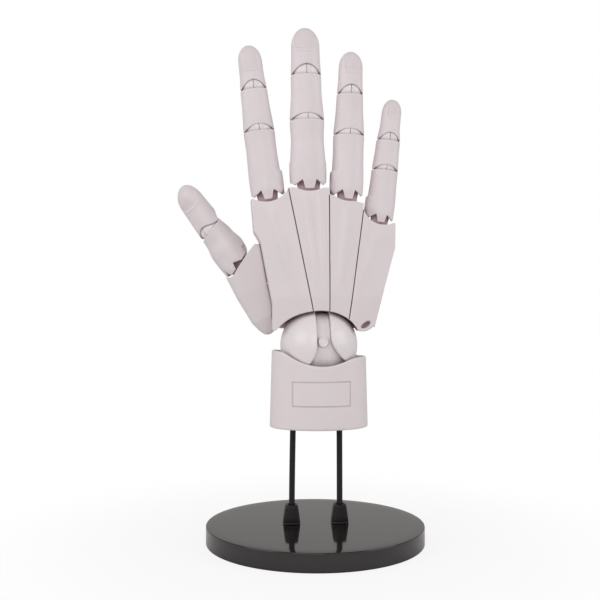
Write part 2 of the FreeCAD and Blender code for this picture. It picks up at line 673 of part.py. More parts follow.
def lower_cuts(digit, joint, height):
    """The top of the lower phalanx at a hinge: flat in front, bevelled behind, with seats for drum and ears."""
    width = f"{digit}_{joint}_width"
    depth = f"{digit}_{joint}_depth"
    half = drum_half(width)
    name = f"{digit}_{joint}_lower"
    top = box(f"{name}_top", ("-overrun", "overrun"), ("-overrun", "overrun"),
              (f"{height} - ear_drop - joint_gap", f"{height} + overrun"))
    line = f"{height} - bevel_drop - joint_gap"
    bevel = slope(f"{name}_bevel", ("0", "overrun"), (line, f"{line} - overrun"),
                  (f"{height} + overrun", f"{height} + overrun"))
    seat = bar_across(f"{name}_seat", f"{drum_radius(depth)} + fit_gap",
                      (f"-{half} - joint_gap", f"{half} + joint_gap"), "0", height)
    inside = f"({half} + joint_gap)"
    corner = f"{depth} / 2 * sqrt(1 - ({inside} / ({width} / 2)) ^ 2)"
    deep = f"sqrt(({corner}) ^ 2 + ear_drop ^ 2) + joint_gap"
    shallow = "ear_drop + ear_relief"
    ears = [
        cone_across(f"{name}_ear_left", (shallow, deep), (f"-{width} / 2 - fit_gap", f"-{inside}"), height),
        cone_across(f"{name}_ear_right", (deep, shallow), (inside, f"{width} / 2 + fit_gap"), height),
    ]
    return [top, bevel, seat] + ears


def upper_cuts(digit, joint, height):
    """The foot of the upper phalanx at a hinge: two ears, an arch over the drum and a bevel behind."""
    width = f"{digit}_{joint}_width"
    depth = f"{digit}_{joint}_depth"
    half = drum_half(width)
    rise = f"{digit}_{joint}_rise"
    name = f"{digit}_{joint}_upper"
    foot = box(f"{name}_foot", ("-overrun", "overrun"), ("-overrun", "overrun"),
               (f"{height} - overrun", f"{height} - ear_drop"))
    line = f"{height} - bevel_drop"
    bevel = slope(f"{name}_bevel", ("0", "overrun"), (f"{height} - 2 * overrun", f"{height} - 2 * overrun"),
                  (line, f"{line} + overrun"))
    cavity = bar_across(f"{name}_cavity", f"{drum_radius(depth)} + joint_gap",
                        (f"-{half} - joint_gap", f"{half} + joint_gap"), "0", height)
    tall = f"({rise} + ear_drop)"
    span = f"({width} / 2 - ear_wall)"
    round_size = f"({span} ^ 2 + {tall} ^ 2) / (2 * {tall})"
    arch = bar_through(f"{name}_arch", round_size, "0", ("-overrun", "0"), f"{height} + {rise} - {round_size}")
    bore = bar_across(f"{name}_bore", "pin_diameter / 2 + fit_gap", ("-overrun", "overrun"), "0", height)
    return [foot, bevel, cavity, arch, bore]


def hinge_parts(digit, joint, height):
    """The two drum halves and the pin that join two phalanges."""
    width = f"{digit}_{joint}_width"
    depth = f"{digit}_{joint}_depth"
    half = drum_half(width)
    halves = []
    for side, ends in (("left", (f"-{half}", "-drum_seam / 2")), ("right", ("drum_seam / 2", half))):
        name = f"{digit}_{joint}_{side}"
        body = bar_across(f"{name}_drum", drum_radius(depth), ends, "0", height)
        bore = bar_across(f"{name}_bore", "pin_diameter / 2", ends, "0", height)
        halves.append(cut(f"{name}_half", body, [bore]))
    node(f"{digit}_{joint}_drum", group(f"{digit}_{joint}_halves", halves), digit_frame(digit))
    half_pin = f"({width} / 2 - pin_sink)"
    pin = solid("Part::Cylinder", f"{digit}_{joint}_pin_part", {
        "Radius": "pin_diameter / 2", "Height": f"2 * {half_pin}",
    })
    start = f"placement(vector(-{half_pin}; 0; {height}); rotationy(90))"
    node(f"{digit}_{joint}_pin", pin, f"{digit_frame(digit)} * {start}")


def phalanx_sections(digit, name, rows):
    return [oval(f"{digit}_{name}_{row}", width, depth, ("0", "0", z)) for row, (width, depth, z) in enumerate(rows)]


def digit_parts(digit):
    """A digit from its knuckle to its tip, built upright on its knuckle centre."""
    three = "middle_length" in FINGERS[digit]
    first = "middle_joint" if three else "end_joint"
    reach = f"{digit}_base_reach"
    top = f"{digit}_proximal_length"
    knuckle(digit)
    body = loft(f"{digit}_proximal_loft", phalanx_sections(digit, "proximal", [
        (f"{digit}_base_width * base_foot_share", f"{digit}_base_depth * base_foot_share", f"-{reach}"),
        (f"{digit}_base_width", f"{digit}_base_depth", "0"),
        (f"{digit}_proximal_width", f"{digit}_{first}_depth", f"{top} / 2"),
        (f"{digit}_{first}_width", f"{digit}_{first}_depth", top),
    ]))
    node(f"{digit}_proximal", cut(f"{digit}_proximal_part", body, base_cuts(digit) + lower_cuts(digit, first, top)),
         digit_frame(digit))
    hinge_parts(digit, first, top)
    if three:
        end = f"({top} + {digit}_middle_length)"
        body = loft(f"{digit}_middle_loft", phalanx_sections(digit, "middle", [
            (f"{digit}_middle_joint_width", f"{digit}_middle_joint_depth", f"{top} - ear_drop"),
            (f"{digit}_middle_width", f"{digit}_end_joint_depth", f"{top} + {digit}_middle_length / 2"),
            (f"{digit}_end_joint_width", f"{digit}_end_joint_depth", end),
        ]))
        tools = upper_cuts(digit, "middle_joint", top) + lower_cuts(digit, "end_joint", end)
        node(f"{digit}_middle", cut(f"{digit}_middle_part", body, tools), digit_frame(digit))
        hinge_parts(digit, "end_joint", end)
        top = end
    distal(digit, top)


def distal(digit, foot):
    """The end phalanx, with a domed tip and a slightly raised nail."""
    shoulder = f"({foot} + {digit}_distal_length - {digit}_tip_length)"
    body = loft(f"{digit}_distal_loft", phalanx_sections(digit, "distal", [
        (f"{digit}_end_joint_width", f"{digit}_end_joint_depth", f"{foot} - ear_drop"),
        (f"{digit}_tip_width", f"{digit}_tip_depth * pad_share", f"({foot} + {shoulder}) / 2"),
        (f"{digit}_tip_width", f"{digit}_tip_depth", shoulder),
    ]))
    dome = solid("Part::Ellipsoid", f"{digit}_tip_dome", {
        "Radius1": f"{digit}_tip_length", "Radius2": f"{digit}_tip_width / 2", "Radius3": f"{digit}_tip_depth / 2",
    }, ("0", "0", shoulder))
    dome.Angle1 = 0
    nail = solid("Part::Ellipsoid", f"{digit}_nail", {
        "Radius1": f"{digit}_distal_length * nail_length_share",
        "Radius2": f"{digit}_tip_width * nail_width_share",
        "Radius3": f"{digit}_tip_depth * nail_rise_share",
    }, ("0", f"-{digit}_tip_depth * nail_front_share", f"{shoulder} - {digit}_tip_length * nail_drop_share"))
    whole = fuse(f"{digit}_distal_solid", [body, dome, nail])
    node(f"{digit}_distal", cut(f"{digit}_distal_part", whole, upper_cuts(digit, "end_joint", foot)),
         digit_frame(digit))


def plate(finger, points):
    """A metacarpal plate cut from the palm's form, seated round the wrist ball, with its knuckle tongue."""
    blank = plate_body(f"{finger}_plate", points, "2 * overrun", "-overrun")
    form = common(f"{finger}_plate_form", blank, palm_envelope(f"{finger}_envelope"))
    room = ball(f"{finger}_wrist_room", "lobe_radius + seam_gap", ("wrist_x", "0", "wrist_z"))
    tools = knuckle_cuts(finger) + [room]
    if finger != "middle":
        tools.append(box(f"{finger}_heel_room", ("-2 * overrun", "2 * overrun"), ("plate_back_y", "overrun"),
                         ("0", "heel_top_z + plate_heel_gap")))
    return fuse(f"{finger}_plate_solid", [cut(f"{finger}_plate_cut", form, tools), knuckle_neck(finger)])


def cup_axis(finger, start):
    """A frame on a seam with its Z axis square to the seam, the line that the outer plate cups about."""
    tilt = "0 deg"
    if finger != "ring":
        rise = "(plate_top_z - plate_foot_z)"
        tilt = f"atan(({finger}_seam_top_x - {finger}_seam_foot_x) / {rise})"
    side = "middle" if finger == "index" else finger
    place = f"vector({seam(side, 'cup_pin_z')}; cup_pin_y; cup_pin_z)"
    return f"placement({place}; rotationy(90 deg + {tilt})) * placement(vector(0; 0; {start}); rotationy(0))"


def cup_bar(name, finger, radius, ends):
    """A cylinder along a cup axis, from one distance to another across the seam."""
    item = solid("Part::Cylinder", name, {"Radius": radius, "Height": f"({ends[1]}) - ({ends[0]})"})
    return placed(item, cup_axis(finger, ends[0]))


def palm():
    """The frame and the three plates that cup on pins across the seams."""
    palm_frame()
    index_plate()
    ring_plate()
    little_plate()


def palm_frame():
    """The middle plate on the heel that closes over the wrist ball, with a slotted lug for the thumb's link."""
    half = "seam_gap / 2"
    foot = "plate_foot_z"
    reach = "cup_pin_reach"
    pin = "cup_pin_diameter / 2"
    middle = plate("middle", [
        (f"{seam('middle', foot)} + {half}", foot), (f"ring_seam_x - {half}", foot),
        (f"ring_seam_x - {half}", "middle_top_z"), (f"{seam('middle', 'middle_top_z')} + {half}", "middle_top_z"),
    ])
    heel_form = loft("HeelForm", [
        oval("HeelFoot", "heel_width", "2 * heel_back_y", ("wrist_x", "0", "heel_foot_z")),
        oval("HeelTop", "heel_width", "2 * heel_top_y", ("wrist_x", "0", "heel_top_z")),
    ])
    front = box("HeelFront", ("-overrun", "overrun"), ("-overrun", "heel_front_y"), ("0", "heel_top_z + overrun"))
    heel = cut("Heel", heel_form, [front, ball("HeelSeat", "lobe_radius + fit_gap", ("wrist_x", "0", "wrist_z"))])
    lug = bar_through("LinkLug", "link_eye_radius", "link_pivot_x", ("heel_front_y", "heel_back_y"), "link_pivot_z")
    solid_frame = fuse("PalmFrameSolid", [middle, heel, lug])
    gap = "(link_thickness / 2 + joint_gap)"
    room = "(link_eye_radius + joint_gap)"
    mouth = box("LinkMouth", ("-overrun", f"link_pivot_x + {room}"), (f"thumb_root_y - {gap}", f"thumb_root_y + {gap}"),
                (f"link_pivot_z - {room}", f"link_pivot_z + {room}"))
    link_bore = bar_through("LinkBore", "link_pin_diameter / 2", "link_pivot_x", ("-overrun", "overrun"),
                            "link_pivot_z")
    bores = [
        cup_bar("IndexPinSeat", "index", pin, ("-seam_gap", reach)),
        cup_bar("RingPinSeat", "ring", pin, (f"-{reach}", "seam_gap")),
    ]
    node("palm_frame", cut("PalmFrame", solid_frame, [mouth, link_bore, neck_bore("middle")] + bores))
    pins = [
        cup_bar("IndexCupPin", "index", pin, (f"-{reach}", reach)),
        cup_bar("RingCupPin", "ring", pin, (f"-{reach}", reach)),
    ]
    node("cup_pins", group("CupPins", pins))


def index_plate():
    """The plate on the thumb side, notched above the thumb's web, cupping about the pin through its seam."""
    half = "seam_gap / 2"
    foot = "plate_foot_z"
    index = plate("index", [
        ("index_foot_x", foot), (f"{seam('middle', foot)} - {half}", foot),
        (f"{seam('middle', 'index_seam_top_z')} - {half}", "index_seam_top_z"),
        ("index_edge_x", "index_edge_top_z"), ("index_edge_x", "web_notch_z"),
        ("web_notch_x", "web_notch_z - web_notch_rise"), ("index_foot_x", "index_heel_z"),
    ])
    index_bore = cup_bar("IndexCupBore", "index", "cup_pin_diameter / 2 + fit_gap",
                         ("-cup_pin_reach - joint_gap", half))
    node("index_metacarpal", cut("IndexMetacarpal", index, [index_bore, neck_bore("index")]))


def ring_plate():
    """The ring finger's plate, cupping on the frame's pin and carrying a stub for the little plate."""
    half = "seam_gap / 2"
    foot = "plate_foot_z"
    reach = "cup_pin_reach"
    pin = "cup_pin_diameter / 2"
    ring = plate("ring", [
        (f"ring_seam_x + {half}", foot), (f"{seam('little', foot)} - {half}", foot),
        (f"{seam('little', 'ring_right_top_z')} - {half}", "ring_right_top_z"),
        (f"ring_seam_x + {half}", "ring_left_top_z"),
    ])
    ring_bore = cup_bar("RingCupBore", "ring", f"{pin} + fit_gap", (f"-{half}", f"{reach} + joint_gap"))
    stub = cup_bar("LittleCupStub", "little", pin, (f"-{reach}", reach))
    node("ring_metacarpal", cut("RingMetacarpal", fuse("RingWithStub", [ring, stub]), [ring_bore, neck_bore("ring")]))


def little_plate():
    """The little finger's plate on the outer edge of the palm."""
    half = "seam_gap / 2"
    foot = "plate_foot_z"
    little = plate("little", [
        (f"{seam('little', foot)} + {half}", foot), ("little_foot_x", foot), ("little_edge_x", "little_edge_z"),
        ("little_edge_x", "little_right_top_z"),
        (f"{seam('little', 'little_left_top_z')} + {half}", "little_left_top_z"),
    ])
    little_bore = cup_bar("LittleCupBore", "little", "cup_pin_diameter / 2 + fit_gap",
                          (f"-{half}", "cup_pin_reach + joint_gap"))
    node("little_metacarpal", cut("LittleMetacarpal", little, [little_bore, neck_bore("little")]))


def thumb_link():
    """The link that spreads the thumb on the heel's lug, with an upright eye for the thumb's root pin."""
    tall = "link_height / 2"
    faces = ("thumb_root_y - link_thickness / 2", "thumb_root_y + link_thickness / 2")
    pin = "link_pin_diameter / 2"
    eye = post("LinkEye", "link_eye_radius", "thumb_root_x", "thumb_root_y",
               (f"thumb_root_z - {tall}", f"thumb_root_z + {tall}"))
    arm = box("LinkArm", ("thumb_root_x", "link_pivot_x"), faces,
              ("link_pivot_z - link_eye_radius", f"thumb_root_z + {tall}"))
    knob = bar_through("LinkKnob", "link_eye_radius", "link_pivot_x", faces, "link_pivot_z")
    cross_bore = bar_through("LinkCrossBore", f"{pin} + fit_gap", "link_pivot_x", ("-overrun", "overrun"),
                             "link_pivot_z")
    root_bore = post("LinkRootBore", pin, "thumb_root_x", "thumb_root_y", ("0", "thumb_root_z + overrun"))
    node("thumb_link", cut("ThumbLink", fuse("ThumbLinkSolid", [eye, arm, knob]), [cross_bore, root_bore]))
    node("thumb_link_pin", bar_through("ThumbLinkPin", pin, "link_pivot_x",
                                       ("heel_front_y + pin_sink", "link_pin_back_y"), "link_pivot_z"))


def thumb_metacarpal():
    """The thumb's metacarpal, hollowed behind for the link, its inner edge kept clear of the index plate."""
    tall = "(link_height / 2 + joint_gap)"
    pin = "link_pin_diameter / 2"
    frame = "placement(vector(thumb_root_x; thumb_root_y; thumb_root_z); rotationy(thumb_root_lean))"
    rows = [
        ("foot", "thumb_foot_width", "thumb_foot_depth", "0", "-thumb_foot_reach"),
        ("root", "thumb_root_width", "thumb_root_depth", "0", "0"),
        ("palm", "thumb_palm_width", "thumb_palm_depth", "thumb_palm_shift", "thumb_palm_height"),
        ("web", "thumb_web_width", "thumb_web_depth", "thumb_web_shift", "thumb_web_height"),
        ("top", "thumb_web_width", "thumb_web_depth", "thumb_top_shift", "thumb_top_height"),
    ]
    sections = [oval(f"thumb_{name}_section", width, depth, (x, "0", z)) for name, width, depth, x, z in rows]
    form = placed(loft("ThumbMetacarpalLoft", sections), frame)
    room = "(link_eye_radius + joint_gap)"
    fork = box("ThumbFork", (f"thumb_root_x - {room}", "overrun"), (f"thumb_root_y - {room}", "overrun"),
               (f"thumb_root_z - {tall}", f"thumb_root_z + {tall}"))
    web = "web_notch_z - web_notch_rise"
    above = box("ThumbWeb", ("-2 * overrun", "overrun"), ("-overrun", "overrun"),
                (f"{web} - thumb_edge_gap", "web_notch_z + overrun"))
    edge = solid("Part::Box", "ThumbEdge", {"Length": "overrun", "Width": "2 * overrun", "Height": "overrun"})
    start = "vector(index_foot_x - thumb_edge_gap; -overrun; index_heel_z)"
    tilt = f"rotationy(atan((web_notch_x - index_foot_x) / ({web} - index_heel_z)))"
    rise = "placement(vector(0; 0; heel_top_z - index_heel_z); rotationy(0))"
    placed(edge, f"placement({start}; {tilt}) * {rise}")
    bore = post("ThumbRootBore", f"{pin} + fit_gap", "thumb_root_x", "thumb_root_y",
                ("0", "thumb_root_z + link_height"))
    trimmed = cut("ThumbMetacarpalCut", form, knuckle_cuts("thumb") + [edge, above, fork])
    whole = fuse("ThumbMetacarpalSolid", [trimmed, knuckle_neck("thumb")])
    node("thumb_metacarpal", cut("ThumbMetacarpal", whole, [bore, neck_bore("thumb")]))
    pin_ends = (f"thumb_root_z - {tall} - link_pin_diameter", f"thumb_root_z + {tall} + link_pin_diameter")
    node("thumb_root_pin", post("ThumbRootPin", pin, "thumb_root_x", "thumb_root_y", pin_ends))


def write_parts():
    """Checks every object, then writes each sub-part to its own file."""
    doc.recompute()
    failed = [item.Name for item in doc.Objects if "Invalid" in item.State or "Error" in item.State]
    empty = [item.Label for item in nodes if item.Shape.isNull() or not item.Shape.isValid()]
    if failed or empty:
        raise RuntimeError(f"failed objects: {failed}; empty or invalid sub-parts: {empty}")
    os.makedirs("parts", exist_ok=True)
    for item in nodes:
        item.Shape.exportStep(f"parts/{item.Label}.step")
        print(item.Label, len(item.Shape.Solids), "solid(s)", round(item.Shape.Volume, 1), "mm3")


stand()
cuff()
wrist()
palm()
thumb_link()
thumb_metacarpal()
for digit in FINGERS:
    digit_parts(digit)
write_parts()
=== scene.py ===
import json
import math

import bmesh
import bpy
import numpy as np
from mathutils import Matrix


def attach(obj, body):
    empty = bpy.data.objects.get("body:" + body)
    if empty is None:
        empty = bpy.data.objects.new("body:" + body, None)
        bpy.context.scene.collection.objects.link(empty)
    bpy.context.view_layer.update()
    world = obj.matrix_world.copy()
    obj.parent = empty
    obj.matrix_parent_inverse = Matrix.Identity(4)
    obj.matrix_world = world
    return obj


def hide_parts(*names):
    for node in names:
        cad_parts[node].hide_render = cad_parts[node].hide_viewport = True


# A jointed right hand of matte white plastic, back of the hand to the camera, on two black rods and a
# glossy black disc. Lengths below are in millimetres until a piece is closed, which turns them to metres.
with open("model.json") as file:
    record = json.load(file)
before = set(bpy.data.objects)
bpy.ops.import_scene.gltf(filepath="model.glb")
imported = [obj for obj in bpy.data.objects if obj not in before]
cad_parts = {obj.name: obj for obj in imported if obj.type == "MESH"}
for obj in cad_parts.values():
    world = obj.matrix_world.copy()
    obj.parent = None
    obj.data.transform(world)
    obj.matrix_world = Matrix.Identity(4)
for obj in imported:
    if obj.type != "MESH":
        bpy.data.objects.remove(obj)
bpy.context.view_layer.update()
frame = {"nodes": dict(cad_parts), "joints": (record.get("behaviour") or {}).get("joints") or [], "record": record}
MM = 0.001

# Shared shading effects. Each node group is built once and gives only masks and values: slow tone change
# over the piece, fine moulded grain for the bump, a painted-shade mask where two pieces come close together,
# and a painted-highlight mask on sharp edges and rims.
grain = bpy.data.node_groups.new("grain_tone_and_painted_light", "ShaderNodeTree")
grain.interface.new_socket("Scale", in_out="INPUT", socket_type="NodeSocketFloat")
grain.interface.new_socket("Tone", in_out="OUTPUT", socket_type="NodeSocketFloat")
grain.interface.new_socket("Height", in_out="OUTPUT", socket_type="NodeSocketFloat")
grain.interface.new_socket("Painted_Shade", in_out="OUTPUT", socket_type="NodeSocketFloat")
grain.interface.new_socket("Edge", in_out="OUTPUT", socket_type="NodeSocketFloat")


def grain_node(kind, **values):
    """One node of the shared group, its plain settings given by name."""
    made = grain.nodes.new(kind)
    for word, value in values.items():
        setattr(made, word, value)
    return made


given = grain_node("NodeGroupInput")
result = grain_node("NodeGroupOutput")
where = grain_node("ShaderNodeTexCoord")
slow = grain_node("ShaderNodeTexNoise")
slow.inputs["Detail"].default_value = 3.0
fine = grain_node("ShaderNodeTexNoise")
fine.inputs["Detail"].default_value = 2.0
finer = grain_node("ShaderNodeMath", operation="MULTIPLY")
finer.inputs[1].default_value = 26.0
# Painted shade: ambient occlusion over a short reach gives the mask that darkens crevices and seams.
painted_shade_occlusion = grain_node("ShaderNodeAmbientOcclusion", samples=12)
painted_shade_occlusion.inputs["Distance"].default_value = 0.0026
shade = grain_node("ShaderNodeMapRange", interpolation_type="SMOOTHSTEP")
shade.inputs["From Min"].default_value = 0.78
shade.inputs["From Max"].default_value = 0.12
# Painted highlight: pointiness gives the mask that lightens sharp edges and rolled rims.
surface_form = grain_node("ShaderNodeNewGeometry")
rim = grain_node("ShaderNodeMapRange", interpolation_type="SMOOTHSTEP")
rim.inputs["From Min"].default_value = 0.535
rim.inputs["From Max"].default_value = 0.64
for source, target in (
    (where.outputs["Object"], slow.inputs["Vector"]), (where.outputs["Object"], fine.inputs["Vector"]),
    (given.outputs["Scale"], slow.inputs["Scale"]), (given.outputs["Scale"], finer.inputs[0]),
    (finer.outputs[0], fine.inputs["Scale"]), (painted_shade_occlusion.outputs["AO"], shade.inputs["Value"]),
    (surface_form.outputs["Pointiness"], rim.inputs["Value"]), (slow.outputs["Fac"], result.inputs["Tone"]),
    (fine.outputs["Fac"], result.inputs["Height"]), (shade.outputs["Result"], result.inputs["Painted_Shade"]),
    (rim.outputs["Result"], result.inputs["Edge"]),
):
    grain.links.new(source, target)


def moulded(name, light, dark, painted_shade_colour, edge, rough, rough_spread, scale, bump,
            subsurface=0.0, metal=0.0, coat=0.0):
    """A plastic or metal from the shared group: tone mixes two colours, crevices take a third as painted shade,
    sharp edges a fourth as a painted highlight; roughness drifts with the slow tone and the fine grain is a
    shallow bump."""
    material = bpy.data.materials.new(name)
    material.use_nodes = True
    nodes, link = material.node_tree.nodes, material.node_tree.links.new
    surface = nodes["Principled BSDF"]
    effect = nodes.new("ShaderNodeGroup")
    effect.node_tree = grain
    effect.inputs["Scale"].default_value = scale
    colour = None
    # Tone mixes in the dark colour; sharp edges then take a painted highlight and crevices a painted shade.
    for mask, tint in (("Tone", dark), ("Edge", edge), ("Painted_Shade", painted_shade_colour)):
        mixer = nodes.new("ShaderNodeMix")
        mixer.data_type = "RGBA"
        link(effect.outputs[mask], mixer.inputs["Factor"])
        if colour is None:
            mixer.inputs["A"].default_value = (*light, 1.0)
        else:
            link(colour, mixer.inputs["A"])
        mixer.inputs["B"].default_value = (*tint, 1.0)
        colour = mixer.outputs["Result"]
    link(colour, surface.inputs["Base Color"])
    drift = nodes.new("ShaderNodeMapRange")
    drift.inputs["To Min"].default_value = rough - rough_spread
    drift.inputs["To Max"].default_value = rough + rough_spread
    link(effect.outputs["Tone"], drift.inputs["Value"])
    link(drift.outputs["Result"], surface.inputs["Roughness"])
    relief = nodes.new("ShaderNodeBump")
    relief.inputs["Strength"].default_value = bump
    relief.inputs["Distance"].default_value = 0.0001
    link(effect.outputs["Height"], relief.inputs["Height"])
    link(relief.outputs["Normal"], surface.inputs["Normal"])
    surface.inputs["Metallic"].default_value = metal
    surface.inputs["Coat Weight"].default_value = coat
    surface.inputs["Coat Roughness"].default_value = 0.04
    surface.inputs["Subsurface Weight"].default_value = subsurface
    surface.inputs["Subsurface Radius"].default_value = (1.0, 0.55, 0.5)
    surface.inputs["Subsurface Scale"].default_value = 0.0012
    return material


# Each finish: light and dark tone, painted shade for crevices, painted highlight for edges, roughness and its
# spread, grain scale and bump. PAINTED_SHADE_MAUVE is the painted shade in the white plastics' crevices.
PAINTED_SHADE_MAUVE = (0.34, 0.215, 0.23)
white = moulded("matte_white_plastic", (0.86, 0.80, 0.815), (0.80, 0.735, 0.755), PAINTED_SHADE_MAUVE, (0.93, 0.90, 0.90),
                0.46, 0.06, 70.0, 0.22, subsurface=0.12)
satin = moulded("satin_white_plastic", (0.91, 0.865, 0.87), (0.87, 0.82, 0.83), (0.48, 0.38, 0.40),
                (0.93, 0.91, 0.91), 0.3, 0.05, 60.0, 0.10, subsurface=0.12, coat=0.15)
gloss = moulded("gloss_black_plastic", (0.010, 0.008, 0.008), (0.016, 0.012, 0.013), (0.004, 0.003, 0.003),
                (0.05, 0.045, 0.045), 0.09, 0.03, 45.0, 0.05, coat=0.36)
black = moulded("satin_black_plastic", (0.012, 0.011, 0.011), (0.020, 0.018, 0.018), (0.003, 0.003, 0.003),
                (0.06, 0.055, 0.055), 0.32, 0.06, 90.0, 0.25)
wire = moulded("black_coated_wire", (0.014, 0.013, 0.013), (0.026, 0.024, 0.024), (0.003, 0.003, 0.003),
               (0.08, 0.075, 0.075), 0.36, 0.07, 220.0, 0.3)
steel = moulded("plain_steel", (0.50, 0.49, 0.48), (0.40, 0.39, 0.385), (0.06, 0.05, 0.05),
                (0.72, 0.71, 0.70), 0.34, 0.08, 300.0, 0.3, metal=1.0)
# A mauve white for the knuckle necks: painted shade for the hollow inside each finger's base.
neck_painted_shade = moulded("neck_painted_shade_white_plastic", (0.66, 0.50, 0.53), (0.60, 0.45, 0.48), (0.50, 0.36, 0.39),
                 (0.7, 0.55, 0.58), 0.6, 0.05, 70.0, 0.2)
# A greyer white for the nails: painted shade for their sunk, flatter faces, with their own roughness.
nail_painted_shade = moulded("nail_painted_shade_plastic", (0.82, 0.755, 0.775), (0.78, 0.715, 0.735), PAINTED_SHADE_MAUVE,
                     (0.93, 0.90, 0.90), 0.42, 0.05, 70.0, 0.12, subsurface=0.12)
for coated in (black, wire):
    coated.node_tree.nodes["Principled BSDF"].inputs["Specular IOR Level"].default_value = 0.22
by_slot = {"matte_white": white, "satin_white": satin, "gloss_black": gloss, "black_plastic": black,
           "black_metal": wire, "pin_steel": steel, "screw_steel": steel}

# Every carried-over solid first gets the finish of its own record slot: hinge pins, link, screws and core
# stay as they are; pieces with a finer skin below are replaced one by one.
for part in frame["record"]["subparts"]:
    node = frame["nodes"][part["node"]]
    node.data.materials.clear()
    node.data.materials.append(by_slot[part["material_slot"]])


def close(name, rows, body, slot, nodes):
    """Turns rows of points into one closed, smooth piece: neighbouring rows are joined by quads, each row is
    a ring, and points that meet at the ends of the piece are merged. Millimetres become metres here."""
    points = np.asarray(rows, float)
    count, around = points.shape[:2]
    first = np.arange(count * around).reshape(count, around)
    second = np.roll(first, -1, axis=1)
    quads = np.stack([first[:-1], second[:-1], second[1:], first[1:]], axis=-1).reshape(-1, 4)
    mesh = bpy.data.meshes.new(name)
    mesh.from_pydata(points.reshape(-1, 3) * MM, [], quads)
    work = bmesh.new()
    work.from_mesh(mesh)
    bmesh.ops.remove_doubles(work, verts=work.verts, dist=2e-6)
    bmesh.ops.dissolve_degenerate(work, edges=work.edges, dist=1e-7)
    bmesh.ops.recalc_face_normals(work, faces=work.faces)
    work.to_mesh(mesh)
    work.free()
    mesh.shade_smooth()
    piece = bpy.data.objects.new(name, mesh)
    bpy.context.scene.collection.objects.link(piece)
    mesh.materials.append(by_slot[slot])
    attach(piece, body)
    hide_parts(*nodes)
    return piece


def ease(low, high, value):
    """Smooth step from 0 at low to 1 at high."""
    share = np.clip((value - low) / (high - low), 0.0, 1.0)
    return share * share * (3.0 - 2.0 * share)


def turned(profile, around=128):
    """Rings of a body of revolution about Z: each row of the profile is (radius, height)."""
    angle = np.linspace(0.0, 2.0 * math.pi, around, endpoint=False)
    radius, height = np.asarray(profile, float).T
    ring = np.stack([np.cos(angle), np.sin(angle), np.zeros(around)], axis=-1)
    return radius[:, None, None] * ring + height[:, None, None] * np.array([0.0, 0.0, 1.0])


def corner(centre, radius, start, end, steps=7):
    """Points of a round corner in a profile, from one angle to another in degrees."""
    angle = np.radians(np.linspace(start, end, steps))
    return [(centre[0] + radius * math.cos(a), centre[1] + radius * math.sin(a)) for a in angle]


# Base disc: injection moulded in glossy black, a plain drum with a small polished radius on its upper rim, a
# crisp lower edge and a flat underside.
DISC_RADIUS = 44.5
DISC_THICK = 7.4
DISC_EDGE = 0.4
close("disc", turned(
    [(0.0, DISC_THICK), (20.0, DISC_THICK), (40.0, DISC_THICK)]
    + corner((DISC_RADIUS - DISC_EDGE, DISC_THICK - DISC_EDGE), DISC_EDGE, 90, 0)
    + [(DISC_RADIUS, 4.0), (DISC_RADIUS, 1.0)]
    + corner((DISC_RADIUS - DISC_EDGE, DISC_EDGE), DISC_EDGE, 0, -90, 5)
    + [(30.0, 0.0), (0.0, 0.0)], 256), "stand", "gloss_black", ["base_disc"])


# Rod sockets: satin black blocks, square below and tapering to a rounded square mouth, each with a thin
# parting slit above its foot. Screwed up from below. The taper lists (height, half width) over the disc.
SPACING = 9.7
angle = np.linspace(0.0, 2.0 * math.pi, 64, endpoint=False)
square = np.stack([np.sign(np.cos(angle)) * np.abs(np.cos(angle)) ** 0.42,
                   np.sign(np.sin(angle)) * np.abs(np.sin(angle)) ** 0.42], axis=-1)
taper = [(0.0, 3.5), (0.55, 3.5), (0.7, 3.36), (0.85, 3.36), (1.0, 3.44), (3.0, 3.2), (5.0, 2.93),
         (6.6, 2.72), (7.3, 2.62), (7.65, 2.45), (7.8, 2.15), (7.8, 1.7), (7.6, 1.45), (6.5, 1.3)]
for side, x in (("left", -SPACING), ("right", SPACING + 0.4)):
    rings = [np.column_stack([x + square[:, 0] * half, square[:, 1] * half, np.full(64, DISC_THICK + z)])
             for z, half in [(0.0, 0.0)] + taper + [(6.5, 0.0)]]
    close(f"socket_{side}", rings, "stand", "black_plastic", ["rod_sockets"])


# Support rods: black coated wire, cut square, pressed into the sockets and very slightly bowed by hand. They
# run up into the cuff's core.
ROD_FOOT = DISC_THICK + 2.0
ROD_TOP = 59.0
ROD_RADIUS = 1.2
run = np.linspace(0.0, 1.0, 40)
angle = np.linspace(0.0, 2.0 * math.pi, 32, endpoint=False)
for side, x, lean in (("left", -SPACING + 0.1, 0.75), ("right", SPACING + 0.4, -0.15)):
    rings = [(0.0, 0.0)] + [(share, ROD_RADIUS) for share in run] + [(1.0, 0.0)]
    rows = [np.column_stack([
        x + lean * share ** 1.5 + radius * np.cos(angle), radius * np.sin(angle),
        np.full(32, ROD_FOOT + (ROD_TOP - ROD_FOOT) * share)]) for share, radius in rings]
    close(f"rod_{side}", rows, "stand", "black_metal", ["support_rods"])


# Cuff: one matte white moulding, an oval tube that narrows a little upwards, with two horns beside the wrist
# and a soft rounded saddle rim between them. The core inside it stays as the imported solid.
WRIST = np.array([1.5, 0.0, 80.2])
CUFF_FOOT = 47.0
AROUND = 240
angle = np.linspace(0.0, 2.0 * math.pi, AROUND, endpoint=False) + math.pi / 2
ux, uy = np.cos(angle), np.sin(angle)
LIP = 0.8
MOUTH_WALL = 1.2


def cuff_half(height):
    """Half width and half depth of the cuff at a height, between its foot and the wrist's height."""
    share = (height - CUFF_FOOT) / (WRIST[2] - CUFF_FOOT)
    return 20.1 - 0.9 * share, 15.0 - 0.5 * share


